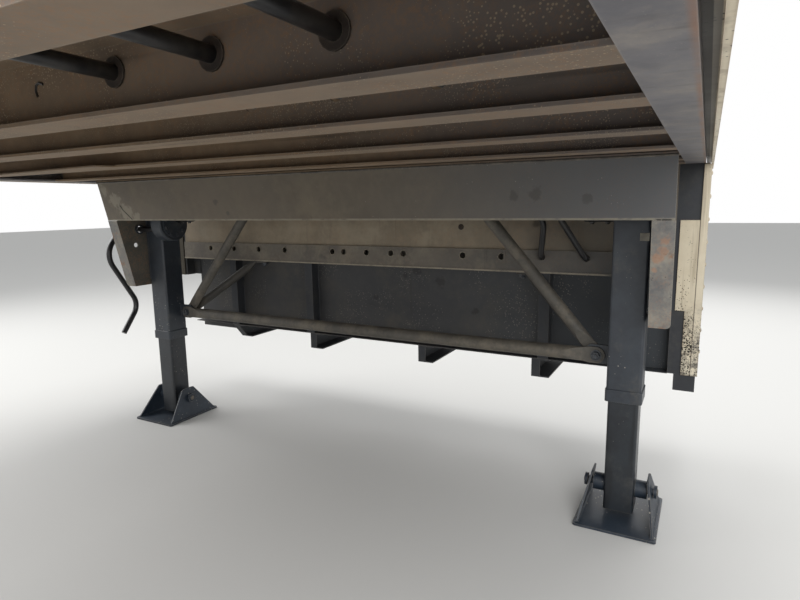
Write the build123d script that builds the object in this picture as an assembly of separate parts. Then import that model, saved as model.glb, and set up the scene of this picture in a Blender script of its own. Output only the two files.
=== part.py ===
from build123d import *
import math
import os

# Front underframe section of a drop-frame semi trailer with its landing gear.
# X points forward, Y to the trailer's left, Z up. The origin is on the deck top, just behind the legs.
# A drop is measured down from the deck top, a height up from the ground.

# Deck
deck_height = 1307.0
overall_width = 2590.0
deck_front_x = 1780.0
board_thickness = 30.0
board_count = 17
board_gap = 3.0
seat_gap = 0.3

# Cross members, rolled I-beams: front edge of each bottom flange, from front to rear
member_fronts = (1746.0, 1455.0, 1189.0, 837.0, 451.0, 262.0, 35.0, -140.0)
member_depth = 102.0
member_flange_width = 70.0
member_flange_thickness = 6.0
member_web = 4.5

# Side rails and the outer skins on them
skin_bead = 4.0
skin_thickness = 3.0
skin_standoff = 16.0
rail_flange = 60.0
rail_thickness = 6.0
skin_overhang = 3.0
skin_bead_height = 22.0
skin_shelf_drop = 112.0
skin_drop_left = 860.0
skin_drop_right = 612.0

# Carrier plate and end gussets, one inclined plane
carrier_depth = 175.0
carrier_bottom_x = 222.0
carrier_slope = 12.5
carrier_thickness = 8.0
carrier_setback = 2.0
carrier_return = 40.0
gusset_thickness = 6.0
gusset_flange_thickness = 8.0
gusset_flange_length = 320.0
gusset_rear_x = -75.0
gusset_rear_foot = 35.0
gusset_rear_rise = 88.0
gusset_corner_radius = 14.0
gusset_joint_gap = 1.0
gusset_hole_x = 129.0
gusset_hole_drop = 427.0
gusset_hole_radius = 11.0

# Bulkhead at the drop in the floor
bulkhead_x = -210.0
bulkhead_sheet = 3.0
section_rear_x = -560.0
sheet_setback = 17.0
sheet_lap = 12.0
rail_strip_drop = 433.0
rail_strip_width = 81.0
rail_strip_thickness = 10.0
rail_strip_lip = 4.0
rail_strip_leg = 6.0
strip_hole_inset = 28.0
strip_hole_radius = 13.0
rail_strip_wall = 3.0
# Y of the open holes in the bolting rail
strip_hole_y = (-1000.0, -836.0, -672.0, -508.0, -228.0, -166.0, -44.0, 80.0, 142.0, 416.0, 580.0)
recess_depth = 52.0
lower_sheet_notch = 45.0
lower_sheet_depth = 342.0
lower_sheet_wing = 33.0
# Y of the middle of each vertical rib, and whether its foot below is cut aslant
rib_rows = (-861.0, -377.0, 750.0)
rib_width = 42.0
rib_wall = 4.0
upper_rib_drop = 12.0
longitudinal_depth = 73.0
longitudinal_width = 70.0
longitudinal_wall = 5.0
longitudinal_fold = 34.0
longitudinal_nose_cut = 62.0
# Y of the right face, and whether the nose is cut aslant
longitudinal_rows = ((-882.0, True), (-379.0, False), (205.0, False), (707.0, False))

# Corner posts and their cover plates
post_thickness = 6.0
cover_inset = 4.0
cover_drop = 319.0
cover_length = 312.0
cover_thickness = 6.0
cover_strip_inset = 30.0
foot_height = 59.0
foot_return = 45.0

# Legs
leg_x = 21.0
leg_inset = 128.0
outer_tube = 108.0
outer_wall = 4.76
inner_tube = 95.0
inner_wall = 6.35
tube_corner = 9.0
outer_leg_drop = 898.0
cap_thickness = 10.0
collar_size = 114.0
collar_height = 38.0
collar_lip = 10.0
inner_leg_overlap = 291.0
inner_bottom_height = 28.0
mounting_plate = 13.0
mounting_plate_front_inset = 13.0
mounting_plate_top_drop = 150.0
mounting_plate_height = 450.0

# Brace lugs on the legs, and the ears under the beam over them
lug_thickness = 10.0
lug_rear_x = -15.0
lug_reach = 82.0
lug_drop = 732.0
lug_height = 65.0
lug_corner = 22.0
ear_width = 80.0
ear_drop = 66.0

# Braces: round tube with flattened ends. One bolt in each lug holds three of them.
horizontal_diameter = 48.0
diagonal_diameter = 42.0
drag_diameter = 40.0
brace_flat = 8.0
horizontal_flat_width = 56.0
diagonal_flat_width = 48.0
brace_tab = 42.0
brace_taper = 64.0
foot_bolt_inset = 46.0
foot_bolt_rise = 30.0
diagonal_run = 508.0
diagonal_top_inset = 39.0
drag_run = 324.0
drag_top_x = -225.0
drag_spacer = 10.0
drag_spacer_radius = 16.0

# Sand shoes
shoe_length = 305.0
shoe_width = 254.0
shoe_plate = 8.0
shoe_corner = 10.0
cheek_thickness = 6.0
cheek_height = 148.0
cheek_foot_length = 290.0
cheek_top_length = 66.0
cheek_top_offset = 84.0
cheek_foot_offset = 113.0
cheek_top_radius = 14.0
axle_height = 100.0
axle_radius = 12.7
axle_shoulder_radius = 29.0
axle_shoulder_end = 85.0
axle_cap_start = 105.0
axle_cap_end = 115.0
axle_cap_radius = 21.0
running_clearance = 0.05

# Gearing, crank shaft and cross shaft
shaft_drop = 295.0
shaft_radius = 12.5
shaft_end_inset = 8.0
crank_x = 104.0
crank_drop = 352.0
crank_shaft_inset = 10.0
crank_standoff = 23.0
gearbox_depth = 60.0
gearbox_radius = 84.0
gearbox_centre_x = 48.0
gearbox_centre_drop = 31.0
gearbox_shoulder = 88.0
gearbox_edge = 6.0
gusset_shaft_hole = 16.0
coupling_radius = 23.0
coupling_length = 96.0

# Crank handle, a bent rod hung on a cross pin
tongue_thickness = 12.0
tongue_length = 31.0
tongue_end = 13.0
fork_thickness = 6.0
fork_width = 26.0
fork_length = 34.0
fork_bridge = 20.0
crank_pin_radius = 5.0
rod_radius = 13.0
rod_sides = 12
# X, drop below the shaft and bend radius of each corner of the rod, then its tip
rod_corners = ((183.0, 120.0, 104.0), (19.0, 396.0, 78.0))
rod_tip = (120.0, 530.0)

# Black lines under the deck
conduit_radius = 11.0
conduit_drop = 71.0
conduit_hole_radius = 17.3
line_sides = 12
line_hole_sides = 16
conduit_rows = (556.0, 739.0, 921.0)
conduit_turn_x = -88.0
conduit_bend = 60.0
conduit_end_bend = 25.0
grommet_member = 1
grommet_lip = 3.0
grommet_lip_radius = 21.0
# X, Y and drop below the deck top of both corners of the two lines that come down to the bulkhead
drop_routes = (
    ((-137.0, 761.0, 325.0), (-172.0, 742.0, 459.0)),
    ((-130.0, 824.0, 318.0), (-172.0, 907.0, 459.0)),
)

# Values that follow from the sizes above
half_width = overall_width / 2
rail_outer_y = half_width - skin_bead - skin_thickness - skin_standoff
rail_inner_y = rail_outer_y - rail_flange
skin_inner_y = rail_outer_y + skin_standoff
skin_outer_y = skin_inner_y + skin_thickness
sheet_half_width = rail_inner_y - sheet_setback
lower_sheet_right_y = lower_sheet_notch - sheet_half_width
member_bottom = -board_thickness - member_depth
carrier_bottom = member_bottom - carrier_depth
gusset_bottom = carrier_bottom - gusset_flange_length
rail_strip_top = -rail_strip_drop
rail_strip_bottom = rail_strip_top - rail_strip_width
strip_hole_z = rail_strip_top - strip_hole_inset
lower_sheet_top = rail_strip_bottom - rail_strip_leg
lower_sheet_bottom = lower_sheet_top - lower_sheet_depth
leg_y = rail_inner_y - leg_inset
tube_face_y = leg_y - outer_tube / 2
gusset_inner_y = leg_y + outer_tube / 2 + mounting_plate
gusset_outer_y = gusset_inner_y + gusset_thickness
outer_leg_bottom = -outer_leg_drop
lug_bottom = -lug_drop - lug_height
foot_bolt_y = tube_face_y - foot_bolt_inset
foot_bolt_z = lug_bottom + foot_bolt_rise
diagonal_top_y = foot_bolt_y - diagonal_run
diagonal_top_z = member_bottom - diagonal_top_inset
drag_top_y = foot_bolt_y - drag_run
shaft_z = -shaft_drop
crank_z = -crank_drop
gearbox_centre_z = shaft_z - gearbox_centre_drop
gearbox_face_y = gearbox_depth - tube_face_y
crank_shaft_start_y = gearbox_face_y - crank_shaft_inset
crank_pin_y = -half_width - crank_standoff
conduit_z = -conduit_drop
strip_front_x = bulkhead_x + rail_strip_thickness
recess_x = bulkhead_x - recess_depth
carrier_run = math.tan(math.radians(carrier_slope))
leg_member = min(member_fronts, key=lambda front: abs(front - member_flange_width / 2))


def level(height):
    """Z of a height above the ground."""
    return height - deck_height


def front_x(z):
    """X of the inclined front plane of carrier plate and gussets."""
    return carrier_bottom_x + (z - carrier_bottom) * carrier_run


def block(x, y, z):
    """Box between the two values of each axis."""
    size = (x[1] - x[0], y[1] - y[0], z[1] - z[0])
    centre = ((x[0] + x[1]) / 2, (y[0] + y[1]) / 2, (z[0] + z[1]) / 2)
    return Pos(*centre) * Box(*size)


def along_y(face, y):
    """Solid of a face drawn in X and Z, between two values of Y."""
    plane = Plane(origin=(0, y[1], 0), x_dir=(1, 0, 0), z_dir=(0, -1, 0))
    return extrude(plane * face, y[1] - y[0])


def along_x(face, x):
    """Solid of a face drawn in Y and Z, between two values of X."""
    plane = Plane(origin=(x[0], 0, 0), x_dir=(0, 1, 0), z_dir=(1, 0, 0))
    return extrude(plane * face, x[1] - x[0])


def outline(*points):
    return Polygon(*points, align=None)


def rod_y(x, z, radius, y):
    """Round bar along Y."""
    return along_y(Pos(x, z) * Circle(radius), y)


def rod_x(y, z, radius, x, sides=None):
    """Round bar along X, or one with flat sides."""
    face = RegularPolygon(radius, sides) if sides else Circle(radius)
    return along_x(Pos(y, z) * face, x)


def on_side(solid, side):
    """A solid made for the left side, or its mirror image on the right."""
    return solid if side > 0 else mirror(solid, about=Plane.XZ)


def square_tube(size, wall, z):
    """Upright square tube on the leg's own axis, open at both ends."""
    outer = RectangleRounded(size, size, tube_corner)
    inner = RectangleRounded(size - 2 * wall, size - 2 * wall, tube_corner - wall / 2)
    return extrude(Pos(0, 0, z[0]) * (outer - inner), z[1] - z[0])


# Floor boards
def deck_floor():
    span = 2 * (rail_inner_y - seat_gap)
    width = (span - (board_count - 1) * board_gap) / board_count
    boards = []
    for index in range(board_count):
        start = -span / 2 + index * (width + board_gap)
        boards.append(block((bulkhead_x, deck_front_x), (start, start + width), (-board_thickness, 0)))
    return Compound(children=boards)


# Cross members
def i_section(front):
    rear = front - member_flange_width
    middle = (front + rear) / 2
    half_web = member_web / 2
    low_flange = member_bottom + member_flange_thickness
    top = -board_thickness
    high_flange = top - member_flange_thickness
    return outline(
        (rear, member_bottom), (front, member_bottom), (front, low_flange),
        (middle + half_web, low_flange), (middle + half_web, high_flange), (front, high_flange),
        (front, top), (rear, top), (rear, high_flange),
        (middle - half_web, high_flange), (middle - half_web, low_flange), (rear, low_flange),
    )


def brace_ear(side):
    """Ear under the beam over the legs, for the top of a diagonal brace."""
    middle = member_bottom - ear_drop / 2
    face = Pos(diagonal_top_y, middle) * Rectangle(ear_width, ear_drop)
    low = [v for v in face.vertices() if v.Y < middle]
    ear = along_x(fillet(low, lug_corner), (lug_rear_x, lug_rear_x + lug_thickness))
    return on_side(ear, side)


def cross_member(front):
    beam = along_y(i_section(front), (-rail_inner_y, rail_inner_y))
    middle = front - member_flange_width / 2
    web = (middle - member_web, middle + member_web)
    for row in conduit_rows:
        reaches = middle > conduit_turn_x or row == conduit_rows[-1]
        if reaches:
            beam -= rod_x(row, conduit_z, conduit_hole_radius, web, line_hole_sides)
    if front == leg_member:
        beam += brace_ear(1) + brace_ear(-1)
    return beam


# Side rails and skins
def side_rail():
    lower = (member_bottom, member_bottom + rail_thickness)
    length = (bulkhead_x, deck_front_x)
    rail = block(length, (rail_outer_y - rail_thickness, rail_outer_y), (lower[0], 0))
    rail += block(length, (rail_inner_y, rail_outer_y), lower)
    return rail + block(length, (rail_inner_y, rail_outer_y), (-rail_thickness, 0))


def side_skin(depth):
    length = (section_rear_x, deck_front_x)
    on_rail = (bulkhead_x, deck_front_x)
    low = member_bottom - skin_overhang
    shelf = -skin_shelf_drop
    skin = block(length, (skin_inner_y, skin_outer_y), (low, 0))
    skin += block(on_rail, (rail_outer_y, skin_outer_y), (-skin_thickness, 0))
    skin += block(length, (rail_outer_y, skin_outer_y), (shelf, shelf + skin_thickness))
    skin += block(length, (skin_inner_y, skin_outer_y + skin_bead), (low, low + skin_bead_height))
    panel_front = bulkhead_x + cover_thickness
    panel = (-depth, low)
    skin += block((section_rear_x, panel_front), (skin_inner_y, skin_outer_y), panel)
    fold = (panel_front - skin_thickness, panel_front)
    return skin + block(fold, (rail_outer_y - cover_inset, skin_outer_y), panel)


# Carrier plate and end gussets
def slanted(low, high, thickness):
    """Outline in X and Z of a plate whose front face lies in the inclined plane."""
    depth = thickness / math.cos(math.radians(carrier_slope))
    return outline(
        (front_x(low), low), (front_x(high), high),
        (front_x(high) - depth, high), (front_x(low) - depth, low),
    )


def carrier_plate():
    half = rail_inner_y - carrier_setback
    plate = along_y(slanted(carrier_bottom, member_bottom, carrier_thickness), (-half, half))
    lip_front = front_x(carrier_bottom)
    lip = (lip_front - carrier_thickness - carrier_return, lip_front - carrier_thickness / 2)
    lip_y = gusset_inner_y - seat_gap
    return plate + block(lip, (-lip_y, lip_y), (carrier_bottom, carrier_bottom + carrier_thickness))


def gusset():
    waist = carrier_bottom - gusset_joint_gap
    behind = carrier_thickness / math.cos(math.radians(carrier_slope)) + seat_gap
    side_face = outline(
        (front_x(gusset_bottom), gusset_bottom), (front_x(waist), waist),
        (front_x(waist) - behind, waist), (front_x(member_bottom) - behind, member_bottom),
        (gusset_rear_x, member_bottom), (gusset_rear_x, gusset_bottom + gusset_rear_rise),
        (gusset_rear_x + gusset_rear_foot, gusset_bottom),
    )
    side_face -= Pos(gusset_hole_x, -gusset_hole_drop) * Circle(gusset_hole_radius)
    side_face -= Pos(crank_x, crank_z) * Circle(gusset_shaft_hole)
    plate = along_y(side_face, (gusset_inner_y, gusset_outer_y))
    flange_face = slanted(gusset_bottom, waist, gusset_flange_thickness)
    flange = along_y(flange_face, (gusset_outer_y, rail_inner_y))
    outer_edges = flange.faces().sort_by(Axis.Y)[-1].edges()
    return plate + fillet(outer_edges.sort_by(Axis.Z)[0], gusset_corner_radius)


# Bulkhead
def upper_sheet():
    x = (bulkhead_x - bulkhead_sheet, bulkhead_x)
    sheet = block(x, (-sheet_half_width, sheet_half_width), (rail_strip_top - sheet_lap, 0))
    return sheet - rod_x(conduit_rows[-1], conduit_z, conduit_radius + seat_gap, x)


def bolting_rail():
    x = (bulkhead_x, strip_front_x)
    width = (-sheet_half_width, sheet_half_width)
    strip = block(x, width, (rail_strip_bottom, rail_strip_top))
    leg = (recess_x - bulkhead_sheet, strip_front_x + rail_strip_lip)
    strip += block(leg, width, (lower_sheet_top, rail_strip_bottom))
    rear = (recess_x - rail_strip_wall, recess_x)
    strip += block(rear, width, (rail_strip_bottom, rail_strip_top))
    roof = (recess_x - rail_strip_wall, bulkhead_x - bulkhead_sheet)
    strip += block(roof, width, (rail_strip_top - rail_strip_wall, rail_strip_top))
    for y in strip_hole_y:
        strip -= rod_x(y, strip_hole_z, strip_hole_radius, x)
    for route in drop_routes:
        _, y, drop = route[-1]
        strip -= rod_x(y, -drop, conduit_radius + seat_gap, x)
    return strip


def lower_sheet():
    wing_y = longitudinal_rows[0][0]
    wing_bottom = lower_sheet_bottom - lower_sheet_wing
    face = outline(
        (lower_sheet_right_y, lower_sheet_top), (lower_sheet_right_y, wing_bottom),
        (wing_y, wing_bottom), (wing_y, lower_sheet_bottom),
        (sheet_half_width, lower_sheet_bottom), (sheet_half_width, lower_sheet_top),
    )
    sheet = along_x(face, (recess_x - bulkhead_sheet, recess_x))
    lip = (lower_sheet_bottom, lower_sheet_bottom + bulkhead_sheet)
    return sheet + block((recess_x, bulkhead_x), (lower_sheet_right_y, sheet_half_width), lip)


def bulkhead_ribs():
    """Channels on the front of the lower sheet, and in line with them on the back of the upper one."""
    ribs = []
    lower = (lower_sheet_bottom + bulkhead_sheet, lower_sheet_top)
    upper = (rail_strip_top, -upper_rib_drop)
    behind = bulkhead_x - bulkhead_sheet
    for y in rib_rows:
        width = (y - rib_width / 2, y + rib_width / 2)
        inside = (width[0] + rib_wall, width[1] - rib_wall)
        rib = block((recess_x, bulkhead_x), width, lower)
        ribs.append(rib - block((recess_x, bulkhead_x - rib_wall), inside, lower))
        rib = block((recess_x, behind), width, upper)
        ribs.append(rib - block((recess_x + rib_wall, behind), inside, upper))
    return Compound(children=ribs)


def bottom_longitudinals():
    """Channels open to the left. The nose of each is folded over from its web."""
    high = lower_sheet_bottom
    low = high - longitudinal_depth
    wall = longitudinal_wall
    rails = []
    for y, aslant in longitudinal_rows:
        cut = longitudinal_nose_cut if aslant else 0.0
        run = cut / longitudinal_depth
        face = outline(
            (section_rear_x, low), (bulkhead_x - cut, low), (bulkhead_x, high), (section_rear_x, high))
        rail = along_y(face, (y, y + longitudinal_width))
        nose = bulkhead_x - wall * math.hypot(1, run)
        inside = outline(
            (section_rear_x, low + wall), (nose - cut + run * wall, low + wall),
            (nose - run * wall, high - wall), (section_rear_x, high - wall))
        rail -= along_y(inside, (y + wall, y + longitudinal_width))
        beside = (y + longitudinal_fold, y + longitudinal_width)
        rails.append(rail - block((section_rear_x, bulkhead_x), beside, (low + wall, high - wall)))
    return Compound(children=rails)


def belly_floor():
    y = (lower_sheet_right_y, sheet_half_width)
    z = (lower_sheet_bottom, lower_sheet_bottom + bulkhead_sheet)
    return block((section_rear_x, recess_x - bulkhead_sheet), y, z)


def corner_post(depth, with_foot):
    z = (-depth, member_bottom)
    outer = skin_inner_y - skin_thickness
    front = (bulkhead_x - post_thickness, bulkhead_x)
    rear = recess_x - bulkhead_sheet
    post = block(front, (sheet_half_width, outer), z)
    post += block((rear, front[0]), (outer - post_thickness, outer), z)
    if z[0] < lower_sheet_top:
        inner = (sheet_half_width, sheet_half_width + post_thickness)
        post += block((rear, front[0]), inner, (z[0], lower_sheet_top))
    if with_foot:
        foot = z[0] - foot_height
        foot_y = (rail_inner_y + cover_inset, outer)
        post += block(front, foot_y, (foot, z[0]))
        post += block((front[1] - foot_return, front[1]), foot_y, (foot, foot + post_thickness))
    return post


def corner_cover(depth):
    front = (bulkhead_x, bulkhead_x + cover_thickness)
    y = (rail_inner_y - cover_inset, rail_outer_y - cover_inset)
    waist = -cover_drop - cover_length
    cover = block(front, y, (max(waist, -depth), -cover_drop))
    if -depth < waist:
        strip = (y[1] - cover_strip_inset, y[1])
        cover += block(front, strip, (-depth, waist))
    return cover


# Legs
def brace_lug():
    middle = tube_face_y - lug_reach / 2
    face = Pos(middle, lug_bottom + lug_height / 2) * Rectangle(lug_reach, lug_height)
    free = [v for v in face.vertices() if v.X < middle]
    return along_x(fillet(free, lug_corner), (lug_rear_x, lug_rear_x + lug_thickness))


def leg_outer(with_gearbox):
    bottom = outer_leg_bottom
    tube = square_tube(outer_tube, outer_wall, (bottom, member_bottom))
    bore = Rectangle(outer_tube - outer_wall, outer_tube - outer_wall)
    collar = RectangleRounded(collar_size, collar_size, tube_corner) - bore
    tube += extrude(Pos(0, 0, bottom) * collar, collar_height)
    opening = inner_tube + 2 * seat_gap
    lip = bore - RectangleRounded(opening, opening, tube_corner)
    tube += extrude(Pos(0, 0, bottom) * lip, collar_lip)
    cap = RectangleRounded(outer_tube, outer_tube, tube_corner)
    tube += extrude(Pos(0, 0, member_bottom - cap_thickness) * cap, cap_thickness)
    leg = Pos(leg_x, leg_y, 0) * tube + brace_lug()
    half = outer_tube / 2
    plate_x = (leg_x - half, leg_x + half - mounting_plate_front_inset)
    plate_z = (-mounting_plate_top_drop - mounting_plate_height, -mounting_plate_top_drop)
    leg += block(plate_x, (leg_y + half, gusset_inner_y), plate_z)
    fit = seat_gap if with_gearbox else running_clearance
    wall = (tube_face_y - outer_wall, tube_face_y + 2 * outer_wall)
    return leg - rod_y(leg_x, shaft_z, shaft_radius + fit, wall)


def inner_leg():
    z = (level(inner_bottom_height), outer_leg_bottom + inner_leg_overlap)
    leg = Pos(leg_x, leg_y, 0) * square_tube(inner_tube, inner_wall, z)
    across = (leg_y - inner_tube, leg_y + inner_tube)
    return leg - rod_y(leg_x, level(axle_height), axle_radius + seat_gap, across)


# Braces
def brace_tab_plate(bolt, inward, normal, diameter, width):
    """Flattened end round its bolt, narrowing to the tube, with the rounded bend at its inner end."""
    plane = Plane(origin=bolt, x_dir=inward, z_dir=normal)
    straight = brace_tab / 2
    face = Circle(width / 2) + outline(
        (0, -width / 2), (straight, -width / 2), (brace_tab, -diameter / 2),
        (brace_tab, diameter / 2), (straight, width / 2), (0, width / 2),
    )
    plate = extrude(plane * face, brace_flat / 2, both=True)
    bend = Plane(origin=bolt + inward * brace_tab, z_dir=normal.cross(inward))
    return plate + extrude(bend * Circle(brace_flat / 2), diameter / 2, both=True)


def brace(foot, head, head_normal, diameter, width):
    """Tube between two bolts. The foot is flattened against a face that looks along X."""
    tabs = []
    for bolt, other, normal in ((foot, head, Vector(1, 0, 0)), (head, foot, head_normal)):
        span = other - bolt
        inward = (span - normal * span.dot(normal)).normalized()
        tabs.append((bolt, inward, normal))
    start, end = [bolt + inward * brace_tab for bolt, inward, _ in tabs]
    length = (end - start).length
    axis = (end - start).normalized()
    tube = extrude(Plane(origin=start, z_dir=axis) * Circle(diameter / 2), length)
    half_flat = brace_flat / 2
    half_round = diameter / 2
    end_taper = length - brace_taper
    pressed_foot = outline(
        (0, -half_flat), (brace_taper, -half_round), (length, -half_round),
        (length, half_round), (brace_taper, half_round), (0, half_flat),
    )
    pressed_head = outline(
        (0, -half_round), (end_taper, -half_round), (length, -half_flat),
        (length, half_flat), (end_taper, half_round), (0, half_round),
    )
    for (_, inward, normal), pressed in zip(tabs, (pressed_foot, pressed_head)):
        wide = normal.cross(inward)
        side = Plane(origin=start, x_dir=axis, z_dir=wide)
        tube &= extrude(side * pressed, diameter, both=True)
    for bolt, inward, normal in tabs:
        tube += brace_tab_plate(bolt, inward, normal, diameter, width)
    return tube


def braces():
    front = lug_rear_x + lug_thickness + brace_flat / 2
    rear = lug_rear_x - brace_flat / 2
    spacer = (rear - brace_flat / 2 - drag_spacer, rear - brace_flat / 2)
    flat_on_x = Vector(1, 0, 0)
    flat_on_z = Vector(0, 0, 1)
    right_bolt = Vector(front, -foot_bolt_y, foot_bolt_z)
    left_bolt = Vector(front, foot_bolt_y, foot_bolt_z)
    across = brace(right_bolt, left_bolt, flat_on_x, horizontal_diameter, horizontal_flat_width)
    foot = Vector(rear, foot_bolt_y, foot_bolt_z)
    head = Vector(rear, diagonal_top_y, diagonal_top_z)
    diagonal = brace(foot, head, flat_on_x, diagonal_diameter, diagonal_flat_width)
    rear_foot = Vector(spacer[0] - brace_flat / 2, foot_bolt_y, foot_bolt_z)
    under_lip = Vector(drag_top_x, drag_top_y, lower_sheet_top - brace_flat / 2)
    drag = brace(rear_foot, under_lip, flat_on_z, drag_diameter, diagonal_flat_width)
    drag += rod_x(foot_bolt_y, foot_bolt_z, drag_spacer_radius, spacer)
    parts = {"brace_horizontal": across}
    for side, word in ((1, "left"), (-1, "right")):
        parts["brace_diagonal_" + word] = on_side(diagonal, side)
        parts["brace_drag_" + word] = on_side(drag, side)
    return parts


# Sand shoes and their axles
def shoe():
    base = RectangleRounded(shoe_length, shoe_width, shoe_corner)
    body = extrude(Pos(leg_x, leg_y, level(0)) * base, shoe_plate)
    lean = Vector(0, cheek_foot_offset - cheek_top_offset, -cheek_height).normalized()
    slant = math.hypot(cheek_foot_offset - cheek_top_offset, cheek_height)
    face = outline(
        (-cheek_foot_length / 2, 0), (cheek_foot_length / 2, 0),
        (cheek_top_length / 2, slant), (-cheek_top_length / 2, slant),
    )
    top = [v for v in face.vertices() if v.Y > slant / 2]
    face = fillet(top, cheek_top_radius)
    foot = Vector(leg_x, leg_y + cheek_foot_offset, level(0))
    plane = Plane(origin=foot, x_dir=(1, 0, 0), z_dir=Vector(1, 0, 0).cross(-lean))
    cheek = extrude(plane * face, -cheek_thickness)
    cheek -= block((-shoe_length, shoe_length), (0, 2 * leg_y), (level(-shoe_length), level(0)))
    other = mirror(cheek, about=Plane.XZ.offset(-leg_y))
    body += cheek + other
    reach = (leg_y - shoe_width, leg_y + shoe_width)
    return body - rod_y(leg_x, level(axle_height), axle_radius + running_clearance, reach)


def shoe_axle():
    z = level(axle_height)
    axle = rod_y(leg_x, z, axle_radius, (leg_y - axle_cap_end, leg_y + axle_cap_end))
    # Radius, and distance from the leg's axis at the near and far end, of each step
    steps = (
        (axle_shoulder_radius, inner_tube / 2 + seat_gap, axle_shoulder_end),
        (axle_cap_radius, axle_cap_start, axle_cap_end),
    )
    for radius, near, far in steps:
        axle += rod_y(leg_x, z, radius, (leg_y + near, leg_y + far))
        axle += rod_y(leg_x, z, radius, (leg_y - far, leg_y - near))
    return axle


# Gearbox, shafts and crank
def gearbox():
    top = gearbox_centre_z + gearbox_shoulder
    face = Pos(gearbox_centre_x, gearbox_centre_z) * Circle(gearbox_radius)
    face += outline(
        (gearbox_centre_x - gearbox_radius, gearbox_centre_z),
        (gearbox_centre_x + gearbox_radius, gearbox_centre_z),
        (gearbox_centre_x + gearbox_radius, top), (gearbox_centre_x - gearbox_radius, top),
    )
    y = (-tube_face_y, gearbox_face_y)
    housing = along_y(face, y)
    housing = chamfer(housing.faces().sort_by(Axis.Y)[-1].edges(), gearbox_edge)
    bore = shaft_radius + running_clearance
    housing -= rod_y(leg_x, shaft_z, bore, y)
    return housing - rod_y(crank_x, crank_z, bore, (y[0], crank_shaft_start_y + seat_gap))


def cross_shaft():
    end = leg_y - shaft_end_inset
    return rod_y(leg_x, shaft_z, shaft_radius, (-end, end))


def shaft_couplings():
    starts = (gearbox_face_y + seat_gap, tube_face_y - coupling_length - seat_gap)
    sleeves = []
    for start in starts:
        length = (start, start + coupling_length)
        sleeve = rod_y(leg_x, shaft_z, coupling_radius, length)
        sleeves.append(sleeve - rod_y(leg_x, shaft_z, shaft_radius + seat_gap, length))
    return Compound(children=sleeves)


def crank_shaft():
    root = crank_pin_y + tongue_length - tongue_end
    shaft = rod_y(crank_x, crank_z, shaft_radius, (root, crank_shaft_start_y))
    shaft += block((crank_x - tongue_thickness / 2, crank_x + tongue_thickness / 2),
                   (crank_pin_y - tongue_end, root), (crank_z - shaft_radius, crank_z + shaft_radius))
    return shaft - rod_x(crank_pin_y, crank_z, crank_pin_radius + running_clearance,
                         (crank_x - tongue_thickness, crank_x + tongue_thickness))


def crank_handle():
    inner = tongue_thickness / 2 + seat_gap
    outer = inner + fork_thickness
    y = (crank_pin_y - fork_width / 2, crank_pin_y + fork_width / 2)
    foot = crank_z - fork_length
    handle = rod_x(crank_pin_y, crank_z, crank_pin_radius, (crank_x - outer, crank_x + outer))
    for near, far in ((-outer, -inner), (inner, outer)):
        handle += rod_x(crank_pin_y, crank_z, fork_width / 2, (crank_x + near, crank_x + far))
        handle += block((crank_x + near, crank_x + far), y, (foot, crank_z))
    handle += block((crank_x - outer, crank_x + outer), y, (foot, crank_z - fork_bridge))
    points = [(crank_x, crank_pin_y, foot + rod_radius / 2)]
    points += [(x, crank_pin_y, crank_z - drop) for x, drop, _ in rod_corners]
    points.append((rod_tip[0], crank_pin_y, crank_z - rod_tip[1]))
    path = FilletPolyline(*points, radius=[radius for _, _, radius in rod_corners])
    start = Plane(origin=points[0], z_dir=Vector(*points[1]) - Vector(*points[0]))
    return handle + sweep(start * RegularPolygon(rod_radius, rod_sides), path=path)


# Lines under the deck
def conduits():
    lines = []
    for row, route in zip(conduit_rows, drop_routes):
        points = [(deck_front_x, row, conduit_z), (conduit_turn_x, row, conduit_z)]
        points += [(x, y, -drop) for x, y, drop in route]
        points.append((bulkhead_x, points[-1][1], points[-1][2]))
        path = FilletPolyline(*points, radius=[conduit_bend, conduit_bend, conduit_end_bend])
        start = Plane(origin=points[0], z_dir=(-1, 0, 0))
        lines.append(sweep(start * RegularPolygon(conduit_radius, line_sides), path=path))
    straight = (bulkhead_x - bulkhead_sheet, deck_front_x)
    lines.append(rod_x(conduit_rows[-1], conduit_z, conduit_radius, straight, line_sides))
    return Compound(children=lines)


def conduit_grommets():
    web = member_fronts[grommet_member] - member_flange_width / 2 + member_web / 2
    front = (web + seat_gap, web + seat_gap + grommet_lip)
    through = (web - member_web - grommet_lip, front[1])
    rings = []
    for row in conduit_rows:
        ring = rod_x(row, conduit_z, conduit_hole_radius - seat_gap, through, line_hole_sides)
        ring += rod_x(row, conduit_z, grommet_lip_radius, front, line_hole_sides)
        rings.append(ring - rod_x(row, conduit_z, conduit_radius + seat_gap, through, line_hole_sides))
    return Compound(children=rings)


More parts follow.
